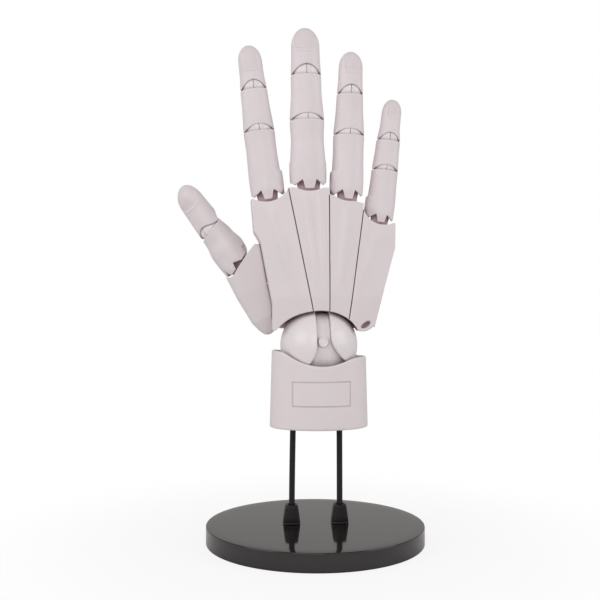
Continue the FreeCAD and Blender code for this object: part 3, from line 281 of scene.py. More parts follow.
half_wide, half_deep = cuff_half(WRIST[2] - 6.0)
SADDLE_RADIUS = 22.4
CORE_LEVEL = WRIST[2] - 17.8
rim_x = ux * half_wide
saddle = WRIST[2] - 7.9 + SADDLE_RADIUS - np.sqrt(np.clip(SADDLE_RADIUS ** 2 - rim_x ** 2, 0.0, None))
horn = np.where(rim_x < 0, WRIST[2] - 2.0, WRIST[2] - 4.5)
blend = 1.1
mouth = -blend * np.log(np.exp(-saddle / blend) + np.exp(-horn / blend))
wall = 2.4
inward = np.column_stack([ux / half_wide, uy / half_deep])
inward /= -np.linalg.norm(inward, axis=1)[:, None]


def cuff_ring(height, inset):
    """One ring of the cuff: the oval at these heights, drawn in square to its wall."""
    wide, deep = cuff_half(height)
    return np.column_stack([
        WRIST[0] + ux * wide + inward[:, 0] * inset, uy * deep + inward[:, 1] * inset, height])


foot = np.full(AROUND, CUFF_FOOT)
rings = [np.tile([WRIST[0], 0.0, CUFF_FOOT + 1.2], (AROUND, 1))]
for above_foot, inset in ((1.2, wall), (0.4, wall), (0.0, wall - 0.5), (0.0, 0.5), (0.15, 0.15), (0.5, 0.0)):
    rings.append(cuff_ring(foot + above_foot, inset))
for share in np.linspace(0.02, 1.0, 46):
    rings.append(cuff_ring(foot + 0.5 + (mouth - LIP - foot - 0.5) * share, 0.0))
for turn in np.radians(np.linspace(0.0, 180.0, 13))[1:]:
    rings.append(cuff_ring(mouth - LIP + LIP * math.sin(turn), MOUTH_WALL / 2.0 * (1.0 - math.cos(turn))))
for drop in (1.0, 2.5, 4.5, 7.0, 10.0):
    rings.append(cuff_ring(np.maximum(mouth - LIP - drop, CORE_LEVEL), MOUTH_WALL))
rings.append(cuff_ring(np.full(AROUND, CORE_LEVEL), MOUTH_WALL))
rings.append(np.tile([WRIST[0], 0.0, CORE_LEVEL], (AROUND, 1)))
cuff = close("cuff", rings, "cuff", "matte_white", ["cuff_shell"])

# Label line on the cuff: the front carries a thin sunk rectangle moulded into the skin. It is cut by its own
# material: a mask of the distance to the rectangle's outline drives a shallow bump and a slight shadow tone.
lined = white.copy()
lined.name = "matte_white_with_sunk_line"
nodes, link = lined.node_tree.nodes, lined.node_tree.links.new
place = nodes.new("ShaderNodeTexCoord")
apart = nodes.new("ShaderNodeSeparateXYZ")
link(place.outputs["Object"], apart.inputs[0])


def number(operation, a, b=0.0):
    """A Math node fed by sockets or plain numbers."""
    made = nodes.new("ShaderNodeMath")
    made.operation = operation
    for socket, value in zip(made.inputs, (a, b)):
        if isinstance(value, (int, float)):
            socket.default_value = value
        else:
            link(value, socket)
    return made.outputs[0]


LABEL = {"x": 0.0013, "z": 0.0613, "half_width": 0.0115, "half_height": 0.0048, "line": 0.00017}
beside_label = number("ABSOLUTE", number("SUBTRACT", apart.outputs["X"], LABEL["x"]))
above_label = number("ABSOLUTE", number("SUBTRACT", apart.outputs["Z"], LABEL["z"]))
away_x = number("SUBTRACT", beside_label, LABEL["half_width"])
away_z = number("SUBTRACT", above_label, LABEL["half_height"])
off_line = number("ABSOLUTE", number("MAXIMUM", away_x, away_z))
cut_mask = nodes.new("ShaderNodeMapRange")
cut_mask.interpolation_type = "SMOOTHSTEP"
link(off_line, cut_mask.inputs["Value"])
cut_mask.inputs["From Min"].default_value = LABEL["line"] * 1.6
cut_mask.inputs["From Max"].default_value = LABEL["line"] * 0.5
front_only = number("LESS_THAN", apart.outputs["Y"], 0.0)
line_mask = number("MULTIPLY", cut_mask.outputs["Result"], front_only)
surface = nodes["Principled BSDF"]
old_colour = surface.inputs["Base Color"].links[0].from_socket
darker = nodes.new("ShaderNodeMix")
darker.data_type = "RGBA"
link(number("MULTIPLY", line_mask, 0.22), darker.inputs["Factor"])
link(old_colour, darker.inputs["A"])
darker.inputs["B"].default_value = (0.42, 0.34, 0.37, 1.0)
link(darker.outputs["Result"], surface.inputs["Base Color"])
sunk = nodes.new("ShaderNodeBump")
sunk.inputs["Strength"].default_value = 0.8
sunk.inputs["Distance"].default_value = 0.0004
sunk.invert = True
link(line_mask, sunk.inputs["Height"])
link(surface.inputs["Normal"].links[0].from_socket, sunk.inputs["Normal"])
link(sunk.outputs["Normal"], surface.inputs["Normal"])
cuff.data.materials[0] = lined


# Wrist: a satin inner ball on the cuff's neck, and over it the two lobes of the outer ball, which belong to
# the palm. The lobes are moulded shells with a rolled rim; the round pin head sits in the band between them.
BALL = 13.7
LOBE = 15.75
rows = []
polar = np.linspace(0.0, math.pi, 72)
angle = np.linspace(0.0, 2.0 * math.pi, 144, endpoint=False)
for tilt in polar:
    band = np.exp(-(BALL * math.sin(tilt) * np.cos(angle) / 2.6) ** 8.0)
    radius = BALL - 0.35 * band
    rows.append(np.column_stack([
        WRIST[0] + radius * math.sin(tilt) * np.cos(angle), radius * math.sin(tilt) * np.sin(angle),
        WRIST[2] + radius * math.cos(tilt)]))
close("inner_ball", rows, "wrist_core", "satin_white", ["wrist_ball"])

head = turned([(0.0, 0.95), (1.0, 0.92), (1.3, 0.86), (1.45, 0.98)] + corner((1.75, 0.85), 0.25, 110, 0, 5)
              + [(2.0, 0.5), (2.0, -3.0), (0.0, -3.0)], 72)
head = np.stack([head[..., 0], -head[..., 2], head[..., 1]], axis=-1)
head = head + [WRIST[0] + 0.3, -BALL + 0.25, WRIST[2] + 1.9]
close("pin_head", head, "wrist_core", "satin_white", ["wrist_pin"])

angle = np.linspace(0.0, 2.0 * math.pi, 200, endpoint=False)
front = np.cos(angle)
low = np.sin(angle)
FULL_RIM = 89.4
LOBE_WALL = 1.7
LOBES = (("left", -1.0, 2.3, 48.0, (0.0, 80.0)), ("right", 1.0, 3.6, 38.0, (-15.0, 60.0)))
for side, sign, slot_half, open_tilt, opens in LOBES:
    # angle 0 faces the front (-Y), 90 degrees faces down; the rim is measured from the lobe's own pole on X
    slot_rim = math.degrees(math.acos(slot_half / LOBE))
    face = np.degrees(np.arctan2(low, front))
    near_front = ease(78.0, 60.0, np.abs(face + 14.0))
    rim = FULL_RIM + (slot_rim - FULL_RIM) * near_front
    opening = ease(*opens, face) * ease(190.0, 150.0, np.abs(face))
    rim = rim + (open_tilt - rim) * opening
    rim = np.radians(rim)
    roll = 0.55 / LOBE
    rows = []

    def lobe_ring(tilt, radius):
        """A ring at this angle from the lobe's pole and this distance from the ball's centre."""
        return np.column_stack([
            WRIST[0] + sign * radius * np.cos(tilt), -radius * np.sin(tilt) * front,
            WRIST[2] - radius * np.sin(tilt) * low])

    for share in np.linspace(0.0, 1.0, 44):
        rows.append(lobe_ring((rim - roll) * share, LOBE))
    for turn in np.radians(np.linspace(0.0, 180.0, 9))[1:]:
        inset = LOBE_WALL / 2.0 * (1.0 - math.cos(turn))
        rows.append(lobe_ring(rim - roll + roll * math.sin(turn), LOBE - inset))
    for share in np.linspace(1.0, 0.0, 14)[1:]:
        rows.append(lobe_ring((rim - roll) * share, LOBE - LOBE_WALL))
    close(f"lobe_{side}", rows, "palm", "satin_white", ["wrist_lobes"])


# Digits: every phalanx is a hollow moulding with rolled rims, closed over the hinge drum below it and
# bevelled behind so that it can bend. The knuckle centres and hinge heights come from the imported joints.
joints = {joint["name"]: joint for joint in frame["joints"]}
DIGITS = {
    "index": {"base": (13.2, 13.0), "reach": 8.8, "waist": 12.35, "first": (12.7, 11.8, 0.9), "shaft": 11.3,
              "end": (10.9, 10.0, 1.9), "tip": (9.5, 7.8), "length": 16.9, "nail": (-1.0, 3.75, 10.6),
              "step": (0.0, 0.75)},
    "middle": {"base": (14.6, 14.0), "reach": 8.8, "waist": 13.2, "first": (14.1, 12.8, 0.7), "shaft": 12.4,
               "end": (12.4, 11.0, 2.3), "tip": (11.3, 9.0), "length": 18.1, "nail": (0.0, 4.3, 9.9),
               "step": (0.3, 0.2)},
    "ring": {"base": (13.1, 13.0), "reach": 8.8, "waist": 12.4, "first": (12.7, 11.8, 0.55), "shaft": 11.2,
             "end": (10.7, 9.8, 1.9), "tip": (9.6, 7.9), "length": 16.3, "nail": (0.9, 3.75, 8.9),
             "step": (0.75, 0.0)},
    "little": {"base": (11.6, 11.6), "reach": 7.9, "waist": 10.9, "first": (10.8, 10.4, 0.45), "shaft": 9.9,
               "end": (9.7, 9.2, 1.5), "tip": (7.9, 6.8), "length": 15.9, "nail": (0.9, 3.1, 8.2),
               "step": (0.75, 0.0)},
    "thumb": {"base": (14.6, 13.8), "reach": 8.7, "waist": 12.9, "first": (12.0, 11.4, 2.0),
              "tip": (11.0, 8.8), "length": 21.3, "nail": (0.9, 4.4, 10.0), "step": (0.0, 0.0)},
}
# The thumb sits on a slant of its metacarpal, across its turned section: distances across, then heights.
THUMB_SEAT = ((-9.0, -7.5, -6.5, -4.5, -1.4, 6.1, 11.1), (-6.0, -6.6, -8.0, -8.2, -6.9, -4.1, -3.0))
EAR_DROP = 1.4
BEVEL_DROP = 0.5
GAP = 0.22
LEAN_LEVEL = 6.5
DIAGONAL = 0.707
RIM = 0.42
POINTS = 176
angle = np.linspace(0.0, 2.0 * math.pi, POINTS, endpoint=False)
round_x = np.sign(np.cos(angle)) * np.abs(np.cos(angle)) ** 0.9
round_y = np.sign(np.sin(angle)) * np.abs(np.sin(angle)) ** 0.9


def sleeve(stations, foot, top, floor, step=(0.0, 0.0), knob=0.0):
    """Rings of a hollow moulding round the Z axis. Stations give height, width and depth, joined
    smoothly; foot and top give the rim height at each point of the section; both rims roll inwards by a
    half circle, and the inside is closed at the floor height. A step widens the sides near the foot, a
    knob swells the front."""
    heights, widths, depths = np.asarray(stations, float).T
    dense = np.linspace(heights[0], heights[-1], 200)
    soft = np.hanning(49) / np.hanning(49).sum()
    smooth = [np.convolve(np.pad(np.interp(dense, heights, values), 24, mode="edge"), soft, "valid")
              for values in (widths, depths)]

    def ring(height, inset):
        """The section at these heights, drawn in square to the wall."""
        wide = np.interp(height, dense, smooth[0]) / 2.0
        deep = np.interp(height, dense, smooth[1]) / 2.0
        normal = np.column_stack([round_x / wide, round_y / deep])
        normal /= np.linalg.norm(normal, axis=1)[:, None]
        x = round_x * wide - normal[:, 0] * inset
        y = round_y * deep - normal[:, 1] * inset
        if knob:
            widened = ease(3.3, 2.3, height) * ease(0.3, 0.9, np.abs(round_x))
            x = x + widened * np.where(x > 0.0, step[1], -step[0])
            y = y - knob * np.exp(-(x / 2.4) ** 2 - ((height + 4.6) / 2.8) ** 2) * ease(0.0, -2.0, y)
        return np.column_stack([x, y, height])

    wide = np.interp(heights[0], dense, smooth[0]) / 2.0
    deep = np.interp(heights[0], dense, smooth[1]) / 2.0
    low_rim = foot(round_x * wide, round_y * deep)
    made = [np.tile([0.0, 0.0, floor], (POINTS, 1)), ring(np.full(POINTS, floor), 2.0 * RIM)]
    for share in (0.33, 0.66):
        made.append(ring(floor + (low_rim + RIM - floor) * share, 2.0 * RIM))
    for turn in np.radians(np.linspace(180.0, 0.0, 9)):
        made.append(ring(low_rim + RIM - RIM * math.sin(turn), RIM * (1.0 - math.cos(turn))))
    high_rim = None
    if top is not None:
        wide = np.interp(heights[-1], dense, smooth[0]) / 2.0
        deep = np.interp(heights[-1], dense, smooth[1]) / 2.0
        high_rim = top(round_x * wide, round_y * deep)
    return made, ring, low_rim, high_rim


def hinge_foot(height, width, rise, tilt=0.0):
    """The lower rim over a hinge: an arch in front between two ears, sloping up behind from the bevel."""
    def rim(x, y):
        tall = rise + EAR_DROP
        span = width / 2.0
        arch = height - EAR_DROP + tall * np.clip(1.0 - (np.abs(x) / span) ** 2.0, 0.0, None)
        behind = height - EAR_DROP + (y + EAR_DROP - BEVEL_DROP) * ease(-0.2, 1.6, y)
        level = np.where(y < 0.0, height - EAR_DROP + (arch - height + EAR_DROP) * ease(0.0, -1.6, y), behind)
        return level + tilt * (LEAN_LEVEL + x + np.minimum(y, 0.0))
    return rim


def hinge_top(height, tilt=0.0):
    """The upper rim under a hinge: level in front and at the sides, falling away behind."""
    def rim(x, y):
        level = height - EAR_DROP - GAP - (1.0 + 2.0 * tilt) * np.clip(y - 0.8, 0.0, None)
        return level + tilt * (LEAN_LEVEL + x + np.minimum(y, 0.0))
    return rim


def add_body(made, ring, low_rim, high_rim, rows, floor_out):
    """Adds the outer wall between both rims, then the upper rolled rim and the well below it."""
    for share in np.linspace(0.0, 1.0, rows)[1:]:
        made.append(ring(low_rim + RIM + (high_rim - low_rim - 2.0 * RIM) * share, 0.0))
    for turn in np.radians(np.linspace(0.0, 180.0, 9))[1:]:
        made.append(ring(high_rim - RIM + RIM * math.sin(turn), RIM * (1.0 - math.cos(turn))))
    for share in (0.33, 0.66):
        made.append(ring(high_rim - RIM + (floor_out - high_rim + RIM) * share, 2.0 * RIM))
    made.append(ring(np.full(POINTS, floor_out), 2.0 * RIM))
    made.append(np.tile([0.0, 0.0, floor_out], (POINTS, 1)))


for digit, size in DIGITS.items():
    knuckle = np.array(joints[f"{digit}_swing"]["pos_m"]) * 1000.0
    back = np.array(joints[f"{digit}_swing"]["axis"])
    across = np.array(joints[f"{digit}_bend"]["axis"]) * (1.0 if digit == "thumb" else -1.0)
    along = np.cross(across, back)
    basis = np.stack([across, back, along])

    def placed(rows):
        """Turns rows from the digit's own frame into the hand's frame."""
        return np.asarray(rows) @ basis + knuckle

    def height_of(name):
        """How far up the digit a joint lies, in millimetres."""
        return float(np.dot(np.array(joints[name]["pos_m"]) * 1000.0 - knuckle, along))

    three = "shaft" in size
    first_height = height_of(f"{digit}_middle_bend" if three else f"{digit}_tip_bend")
    first = size["first"]
    reach = size["reach"]
    wide, deep = size["base"]
    ball = wide / 2.0 - 2.2
    slanted = digit == "thumb"
    tilt = 0.2 if slanted else 0.0
    notch_values = (0.7, 0.45, 0.45, 1.6) if slanted else (0.0, 0.56, 0.75, 0.0)
    turned_by, apex_share, outer_slope, shortened = notch_values

    def base_rim(x, y):
        """Foot of the first phalanx: a round skirt with two V notches in front and an open throat behind."""
        away = np.abs(x)
        skirt = -reach * np.clip(1.0 - (away / (reach * 1.02)) ** 2.2, 0.02, None) ** (1.0 / 2.2)
        if slanted:
            skirt = np.interp(DIAGONAL * (x + y), *THUMB_SEAT) + 0.45
        apex = -reach * apex_share
        beyond = np.abs(x - turned_by) - wide * 0.19
        notch = np.where(beyond < 0.0, apex + beyond * 4.0, apex - beyond * outer_slope)
        front = np.maximum(skirt, notch)
        short = reach - shortened
        behind = -np.sqrt(np.clip(short ** 2 - x ** 2 - np.clip(y, 0.0, None) ** 2, 1.0, None)) + 0.3
        if slanted:
            front = front + (np.minimum(front, skirt + 0.15) - front) * ease(-1.6, -3.4, x)
            behind = np.maximum(behind, skirt + 0.45 * np.clip(y, 0.0, None))
        throat = behind + (1.2 - behind) * ease(0.44 * wide, 0.38 * wide, np.abs(x)) * ease(0.5, 2.2, y)
        return np.where(y < 0.0, front, throat)

    made, ring, low_rim, high_rim = sleeve([
        (-reach, wide * 0.955, deep * 0.93), (-2.0, wide, deep), (3.0, wide * 0.985, deep),
        (first_height * 0.55, size["waist"], first[1] * 0.99),
        (first_height - EAR_DROP - GAP, first[0], first[1])],
        base_rim, hinge_top(first_height, tilt), ball + 1.2, size["step"], 0.6)
    add_body(made, ring, low_rim, high_rim, 72, first_height - 5.4)
    close(f"{digit}_first_phalanx", placed(made), f"{digit}_first", "matte_white", [f"{digit}_proximal"])

    # Knuckle seat: the metacarpal ends in a short drum along the finger's bending axis on a neck. It fills
    # the finger's hollow base; the neck takes a mauve white, painted shade, and shows dark through the two
    # notches.
    thick = 0.36 * wide
    profile = [(0.0, -thick)] + corner((thick - 0.8, 0.8 - thick), 0.8, -90, 0, 5)
    profile += corner((thick - 0.8, thick - 0.8), 0.8, 0, 90, 5)
    seat = turned(profile + [(0.0, thick)], 72)
    seat = np.stack([seat[..., 2], seat[..., 0], seat[..., 1]], axis=-1)
    neck_stations = ((-reach - 3.0, 0.0), (-reach - 3.0, 0.84), (-reach, 0.84), (-3.0, 1.0), (-3.0, 0.0))
    neck = [np.column_stack([round_x * thick * share, round_y * 1.6 * share - 1.3, np.full(POINTS, level)])
            for level, share in neck_stations]
    holder = {"middle": "palm", "thumb": "thumb_palm"}.get(digit, f"{digit}_plate")
    kept = {"middle": "palm_frame", "thumb": "thumb_metacarpal"}.get(digit, f"{digit}_metacarpal")
    close(f"{digit}_knuckle_seat", placed(seat), holder, "matte_white", [kept])
    piece = close(f"{digit}_knuckle_neck", placed(neck), holder, "matte_white", [kept])
    # The neck's mauve white is painted shade for the hollow it sits in.
    piece.data.materials[0] = neck_painted_shade

    lower_height = first_height
    lower = first
    if three:
        end_height = height_of(f"{digit}_tip_bend")
        end = size["end"]
        length = end_height - first_height
        made, ring, low_rim, high_rim = sleeve([
            (first_height - EAR_DROP, first[0], first[1]),
            (first_height + length * 0.5, size["shaft"], end[1]),
            (end_height - EAR_DROP - GAP, end[0], end[1])],
            hinge_foot(first_height, first[0], first[2]), hinge_top(end_height), first_height + 5.2)
        add_body(made, ring, low_rim, high_rim, 56, end_height - 4.8)
        close(f"{digit}_second_phalanx", placed(made), f"{digit}_second", "matte_white", [f"{digit}_middle"])
        lower_height = end_height
        lower = end

    # End phalanx: the sleeve closes in a domed tip. The nail is sunk a little behind a low fold at its round
    # cuticle, level with the fingertip at its free edge, and its faces take a slightly greyer white: painted
    # shade, with its own roughness and a shallower grain.
    tip_wide, tip_deep = size["tip"]
    crown = lower_height + size["length"]
    made, ring, low_rim, high_rim = sleeve([
        (lower_height - EAR_DROP, lower[0], lower[1]),
        (lower_height + size["length"] * 0.22, tip_wide * 1.04, lower[1] * 0.93),
        (lower_height + size["length"] * 0.55, tip_wide * 1.02, tip_deep * 1.06),
        (crown, tip_wide * 0.98, tip_deep * 0.98)],
        hinge_foot(lower_height, lower[0], lower[2], tilt), None, lower_height + 4.6)
    dome = tip_wide * 0.7
    shift, nail_half, nail_long = size["nail"]
    climb = np.linspace(0.0, 1.0, 120)[1:]
    for share in climb:
        level = low_rim + RIM + (crown - low_rim - RIM) * share
        skin = ring(level, 0.0)
        over = np.clip((skin[:, 2] - (crown - dome)) / dome, 0.0, 1.0)
        squeeze = np.sqrt(np.clip(1.0 - over ** 2.0, 0.0, None))
        skin[:, 0] *= squeeze
        skin[:, 1] *= squeeze
        skin[:, 1] += 0.10 * tip_deep * over ** 2
        cuticle = crown - nail_long
        across_nail = (skin[:, 0] - shift) / nail_half
        lower_edge = cuticle + 1.1 * (1.0 - np.sqrt(np.clip(1.0 - across_nail ** 2, 0.0, 1.0)))
        rise = skin[:, 2] - lower_edge
        on_nail = ease(1.0, 0.92, np.abs(across_nail)) * ease(0.5, -0.4, skin[:, 1])
        on_nail = on_nail * ease(crown - 0.4, crown - 2.0, skin[:, 2])
        sunk = 0.42 * ease(0.0, 0.3, rise) * ease(nail_long * 0.8, 0.4, rise)
        fold = 0.2 * np.exp(-((rise + 0.45) / 0.45) ** 2)
        skin[:, 1] += (sunk - fold) * on_nail
        made.append(skin)
    made.append(np.tile([0.0, 0.10 * tip_deep, crown], (POINTS, 1)))
    piece = close(f"{digit}_end_phalanx", placed(made), f"{digit}_tip", "matte_white", [f"{digit}_distal"])
    mesh = piece.data
    mesh.materials.append(nail_painted_shade)
    spots = np.empty(len(mesh.polygons) * 3)
    mesh.polygons.foreach_get("center", spots)
    spots = (spots.reshape(-1, 3) / MM - knuckle) @ basis.T
    across_nail = np.clip((spots[:, 0] - shift) / nail_half, -1.0, 1.0)
    lower_edge = crown - nail_long + 1.1 * (1.0 - np.sqrt(1.0 - across_nail ** 2))
    on_nail = (spots[:, 2] > lower_edge) & (np.abs(across_nail) < 0.97) & (spots[:, 1] < 0.0)
    mesh.polygons.foreach_set("material_index", on_nail.astype(np.int32))

    # Hinge drums: two satin half drums per hinge, rounded at their ends, with a thin seam between them,
    # pressed on the steel pin and carried by the phalanx below.
    hinges = [("middle_joint", first_height, first, f"{digit}_first")] if three else []
    hinges.append(("end_joint", lower_height, lower, f"{digit}_second" if three else f"{digit}_first"))
    for name, level, sizes, owner in hinges:
        radius = sizes[1] / 2.0 - 0.5
        half = sizes[0] / 2.0 - 0.75
        for side in (-1.0, 1.0):
            out_to = np.linspace(0.3, 0.93, 14) * half
            profile = [(0.0, 0.07)] + corner((radius - 0.22, 0.29), 0.22, -90, 0, 5)
            profile += [(radius * math.sqrt(1.0 - (x / half) ** 2.0), x) for x in out_to]
            profile += [(0.0, out_to[-1] + 0.2)]
            drum = turned(profile, 96)
            drum = np.stack([side * drum[..., 2], drum[..., 0], drum[..., 1] + level], axis=-1)
            label = "left" if side < 0 else "right"
            close(f"{digit}_{name}_drum_{label}", placed(drum), owner, "satin_white",
                  [f"{digit}_{name}_drum"])

# Palm plates: four metacarpals and the heel, each a thick moulding with small rounded edges, scalloped above
# for its finger and below for the wrist ball. Their common outer form is one swept oval with tendon ridges.
PALM_X = 2.8
LEVELS = np.array([82.0, 100.0, 125.0, 150.0])
HALF_WIDE = np.array([28.0, 31.0, 34.5, 34.5])
HALF_DEEP = np.array([9.9, 11.4, 10.4, 8.8])


def palm_depth(x, z):
    """Half depth of the palm's oval form at a place on the front."""
    wide = np.interp(z, LEVELS, HALF_WIDE) + 0.8
    deep = np.interp(z, LEVELS, HALF_DEEP)
    return deep * np.sqrt(np.clip(1.0 - ((x - PALM_X) / wide) ** 2, 0.02, None))


def plate(name, left, right, top, bottom, ridges, back_at, body, nodes, recess=None):
    """A closed plate. Left and right give the seams at a height, top and bottom the rim heights at an X; the
    grid follows all four. Its edges are rounded by a quarter circle, and the ends close on its middle plane.
    Ridges are (line, half width, height), back_at is the back's depth and the height up to which it holds."""
    edge = 0.4
    columns, levels = 74, 96
    clustered = 0.5 - 0.5 * np.cos(np.linspace(0.0, math.pi, columns))
    across = 0.35 * np.linspace(0.0, 1.0, columns) + 0.65 * clustered
    climb = 0.5 - 0.5 * np.cos(np.linspace(0.0, math.pi, levels))
    climb = 0.35 * np.linspace(0.0, 1.0, levels) + 0.65 * climb
    s, t = np.meshgrid(across, climb)
    z = 90.0 + 50.0 * t
    x = left(z) + (right(z) - left(z)) * s
    for _ in range(6):
        z = bottom(x) + (top(x) - bottom(x)) * t
        x = left(z) + (right(z) - left(z)) * s
    drawn_up = np.clip(back_seat(x) - bottom(x), 0.0, None) * (1.0 - t) ** 3
    from_side = np.minimum(x - left(z), right(z) - x)
    from_end = np.minimum(z - bottom(x), top(x) - z)
    side = np.clip(edge - from_side, 0.0, edge)
    end = np.clip(edge - from_end, 0.0, edge)
    drop = edge - np.sqrt(np.clip(edge ** 2 - side ** 2 - end ** 2, 0.0, None))
    depth = palm_depth(x, z)
    raised = sum(tall * np.exp(-((x - ridge(z)) / wide) ** 2) for ridge, wide, tall in ridges)
    raised = raised * ease(100.0, 114.0, z) * ease(0.0, 7.0, top(x) - z)
    y_front = -depth - raised + drop
    y_back = np.where(z < back_at[1], np.minimum(depth, back_at[0]), depth) - drop
    if recess is not None:
        at_x, at_z, half_long, half_high, slope = recess
        u = (x - at_x) * math.cos(slope) + (z - at_z) * math.sin(slope)
        v = (z - at_z) * math.cos(slope) - (x - at_x) * math.sin(slope)
        y_front = y_front + 2.4 * ease(1.15, 0.85, np.hypot(u / half_long, v / half_high))
    middle = (y_front + y_back) / 2.0
    front_sheet = np.stack([x, y_front, z], axis=-1)
    back_sheet = np.stack([x, np.maximum(y_back, y_front + 0.1), z + drawn_up], axis=-1)[:, ::-1]
    rows = np.concatenate([front_sheet, back_sheet], axis=1)
    low = np.stack([x[0], middle[0], z[0] + drawn_up[0] / 2.0], axis=-1)
    low_cap = np.concatenate([low, low[::-1]])
    high = np.stack([x[-1], middle[-1], z[-1]], axis=-1)
    high_cap = np.concatenate([high, high[::-1]])
    rows = np.concatenate([low_cap[None], rows, high_cap[None]])
    return close(name, rows, body, "matte_white", nodes)


def line(first_point, second_point):
    """A straight function through two points of (value, place): X over height for a seam or a ridge, height
    over X for a shoulder."""
    (value0, place0), (value1, place1) = first_point, second_point
    return lambda place: value0 + (value1 - value0) * (place - place0) / (place1 - place0)


def scallop(digit, radius, shoulder):
    """Upper rim: a soft minimum of a sloping shoulder line and the round seat of the finger, a full oval."""
    knuckle = np.array(joints[f"{digit}_swing"]["pos_m"]) * 1000.0
    soft = 0.3

    def rim(x):
        away = np.clip(np.abs(x - knuckle[0]) / radius, 0.0, 0.985)
        seat = knuckle[2] - radius * (1.0 - away ** 2.1) ** (1.0 / 2.1)
        return -soft * np.log(np.exp(-(shoulder(x) - 130.0) / soft) + np.exp(-(seat - 130.0) / soft)) + 130.0
    return rim


def back_seat(x):
    """Lower rim of a plate's hidden back sheet, clear of the wrist's outer ball."""
    return WRIST[2] + np.sqrt(np.clip(16.4 ** 2 - (x - WRIST[0]) ** 2, 1.0, None))


def wrist_seat(reach, foot, outer, drawn):
    """Lower rim: an arch over the wrist ball meeting the plate's foot, whose outer corner is drawn up."""
    soft = 0.45

    def rim(x):
        circle = WRIST[2] + 0.4 + SEAT * np.sqrt(np.clip(1.0 - ((x - WRIST[0]) / reach) ** 2, 0.02, None))
        corner_rise = drawn * np.clip(1.0 - np.abs(x - outer) / (2.2 * drawn), 0.0, 1.0) ** 2
        level = soft * np.log(np.exp((circle - 90.0) / soft) + np.exp((foot - 90.0) / soft)) + 90.0
        return level + corner_rise
    return rim


def level_line(value):
    """The same value everywhere, for a seam or a shoulder without slope."""
    return lambda place: np.full_like(np.asarray(place, float), value)


HALF_SEAM = 0.15
index_seam = line((-0.1, 86.0), (-12.9, 150.0))
little_seam = line((12.0, 86.0), (20.8, 150.0))
RING_SEAM = 4.8
SEAT = 13.7
SHOULDER = 143.6
SCALLOP = 9.7
LITTLE_SCALLOP = 8.8


def index_edge(z):
    """Outer edge of the index plate: upright at the heel, leaning out to the notch above the thumb's web."""
    return np.interp(z, [96.6, 121.6, 123.9, 126.2, 139.0], [-17.7, -22.5, -23.7, -25.2, -26.3])


plate("index_plate", index_edge, lambda z: index_seam(z) - HALF_SEAM,
      scallop("index", SCALLOP, line((139.2, -26.5), (143.4, -11.6))), wrist_seat(19.6, 85.4, -17.7, 1.2),
      [(line((-9.5, 104.0), (-19.8, 138.0)), 1.9, 0.8)], (0.4, 106.0), "index_plate", ["index_metacarpal"])
plate("middle_plate", lambda z: index_seam(z) + HALF_SEAM, level_line(RING_SEAM - HALF_SEAM),
      scallop("middle", SCALLOP, level_line(SHOULDER)), wrist_seat(16.6, 86.0, 60.0, 1.0),
      [(line((-0.6, 104.0), (-4.8, 140.0)), 1.0, 0.75), (line((2.9, 104.0), (0.6, 140.0)), 1.0, 0.75)],
      (30.0, 0.0), "palm", ["palm_frame"])
plate("ring_plate", level_line(RING_SEAM + HALF_SEAM), lambda z: little_seam(z) - HALF_SEAM,
      scallop("ring", SCALLOP, line((141.0, 4.8), (137.4, 19.2))), wrist_seat(16.6, 86.0, 60.0, 1.0),
      [(line((9.0, 104.0), (12.8, 138.0)), 1.9, 0.6)], (0.4, 106.0), "ring_plate", ["ring_metacarpal"])


def little_edge(z):
    """Outer edge of the little finger's plate, fullest at the knuckle and drawn in towards the heel."""
    return np.interp(z, [86.0, 104.0, 120.0, 140.0], [23.0, 27.6, 32.2, 32.4])


plate("little_plate", lambda z: little_seam(z) + HALF_SEAM, little_edge,
      scallop("little", LITTLE_SCALLOP, line((136.8, 18.8), (129.8, 32.4))),
      wrist_seat(16.6, 86.0, 23.0, 2.0),
      [(line((17.0, 104.0), (25.6, 128.0)), 2.0, 0.4)], (0.4, 106.0), "little_plate", ["little_metacarpal"],
      recess=(19.6, 88.6, 2.1, 0.95, math.radians(32.0)))

# Thumb metacarpal: one moulding that leans out from the heel, full at the web, with a rounded foot. Its inner
# edge lies along the index plate, and its upper rim is cut square to the thumb.
ROOT = np.array([-21.0, 7.2, 91.0])
LEAN = math.radians(-26.7)
up = np.array([math.sin(LEAN), 0.0, math.cos(LEAN)])
out = np.array([math.cos(LEAN), 0.0, -math.sin(LEAN)])
stations = np.array([
    (-7.2, 0.0, 0.4, 0.4), (-7.0, 0.0, 2.6, 2.2), (-6.2, 0.0, 4.8, 4.2), (-4.5, 0.4, 7.8, 6.2),
    (0.0, 1.5, 13.0, 9.8), (12.0, 3.0, 18.0, 12.8), (24.0, 6.1, 24.4, 14.0), (33.0, 6.9, 24.4, 14.0)])
level = np.linspace(-7.2, 33.0, 110)
level[0:8] = [-7.2, -7.15, -7.05, -6.9, -6.7, -6.5, -6.2, -5.8]
width = np.interp(level, stations[:, 0], stations[:, 2])
depth = np.interp(level, stations[:, 0], stations[:, 3])
centre = np.interp(level, stations[:, 0], stations[:, 1])
knuckle = np.array(joints["thumb_swing"]["pos_m"]) * 1000.0
thumb_across = np.array(joints["thumb_bend"]["axis"])
thumb_back = np.array(joints["thumb_swing"]["axis"])
thumb_along = np.cross(thumb_across, thumb_back)
angle = np.linspace(0.0, 2.0 * math.pi, 176, endpoint=False)
cosine, sine = (np.sign(wave) * np.abs(wave) ** 0.75 for wave in (np.cos(angle), np.sin(angle)))
rows = np.array([
    ROOT + np.outer(centre[step] + width[step] / 2.0 * cosine, out)
    + np.outer(depth[step] / 2.0 * sine, [0.0, 1.0, 0.0]) + level[step] * up
    for step in range(len(level))])
limit = index_edge(rows[..., 2]) - 0.18
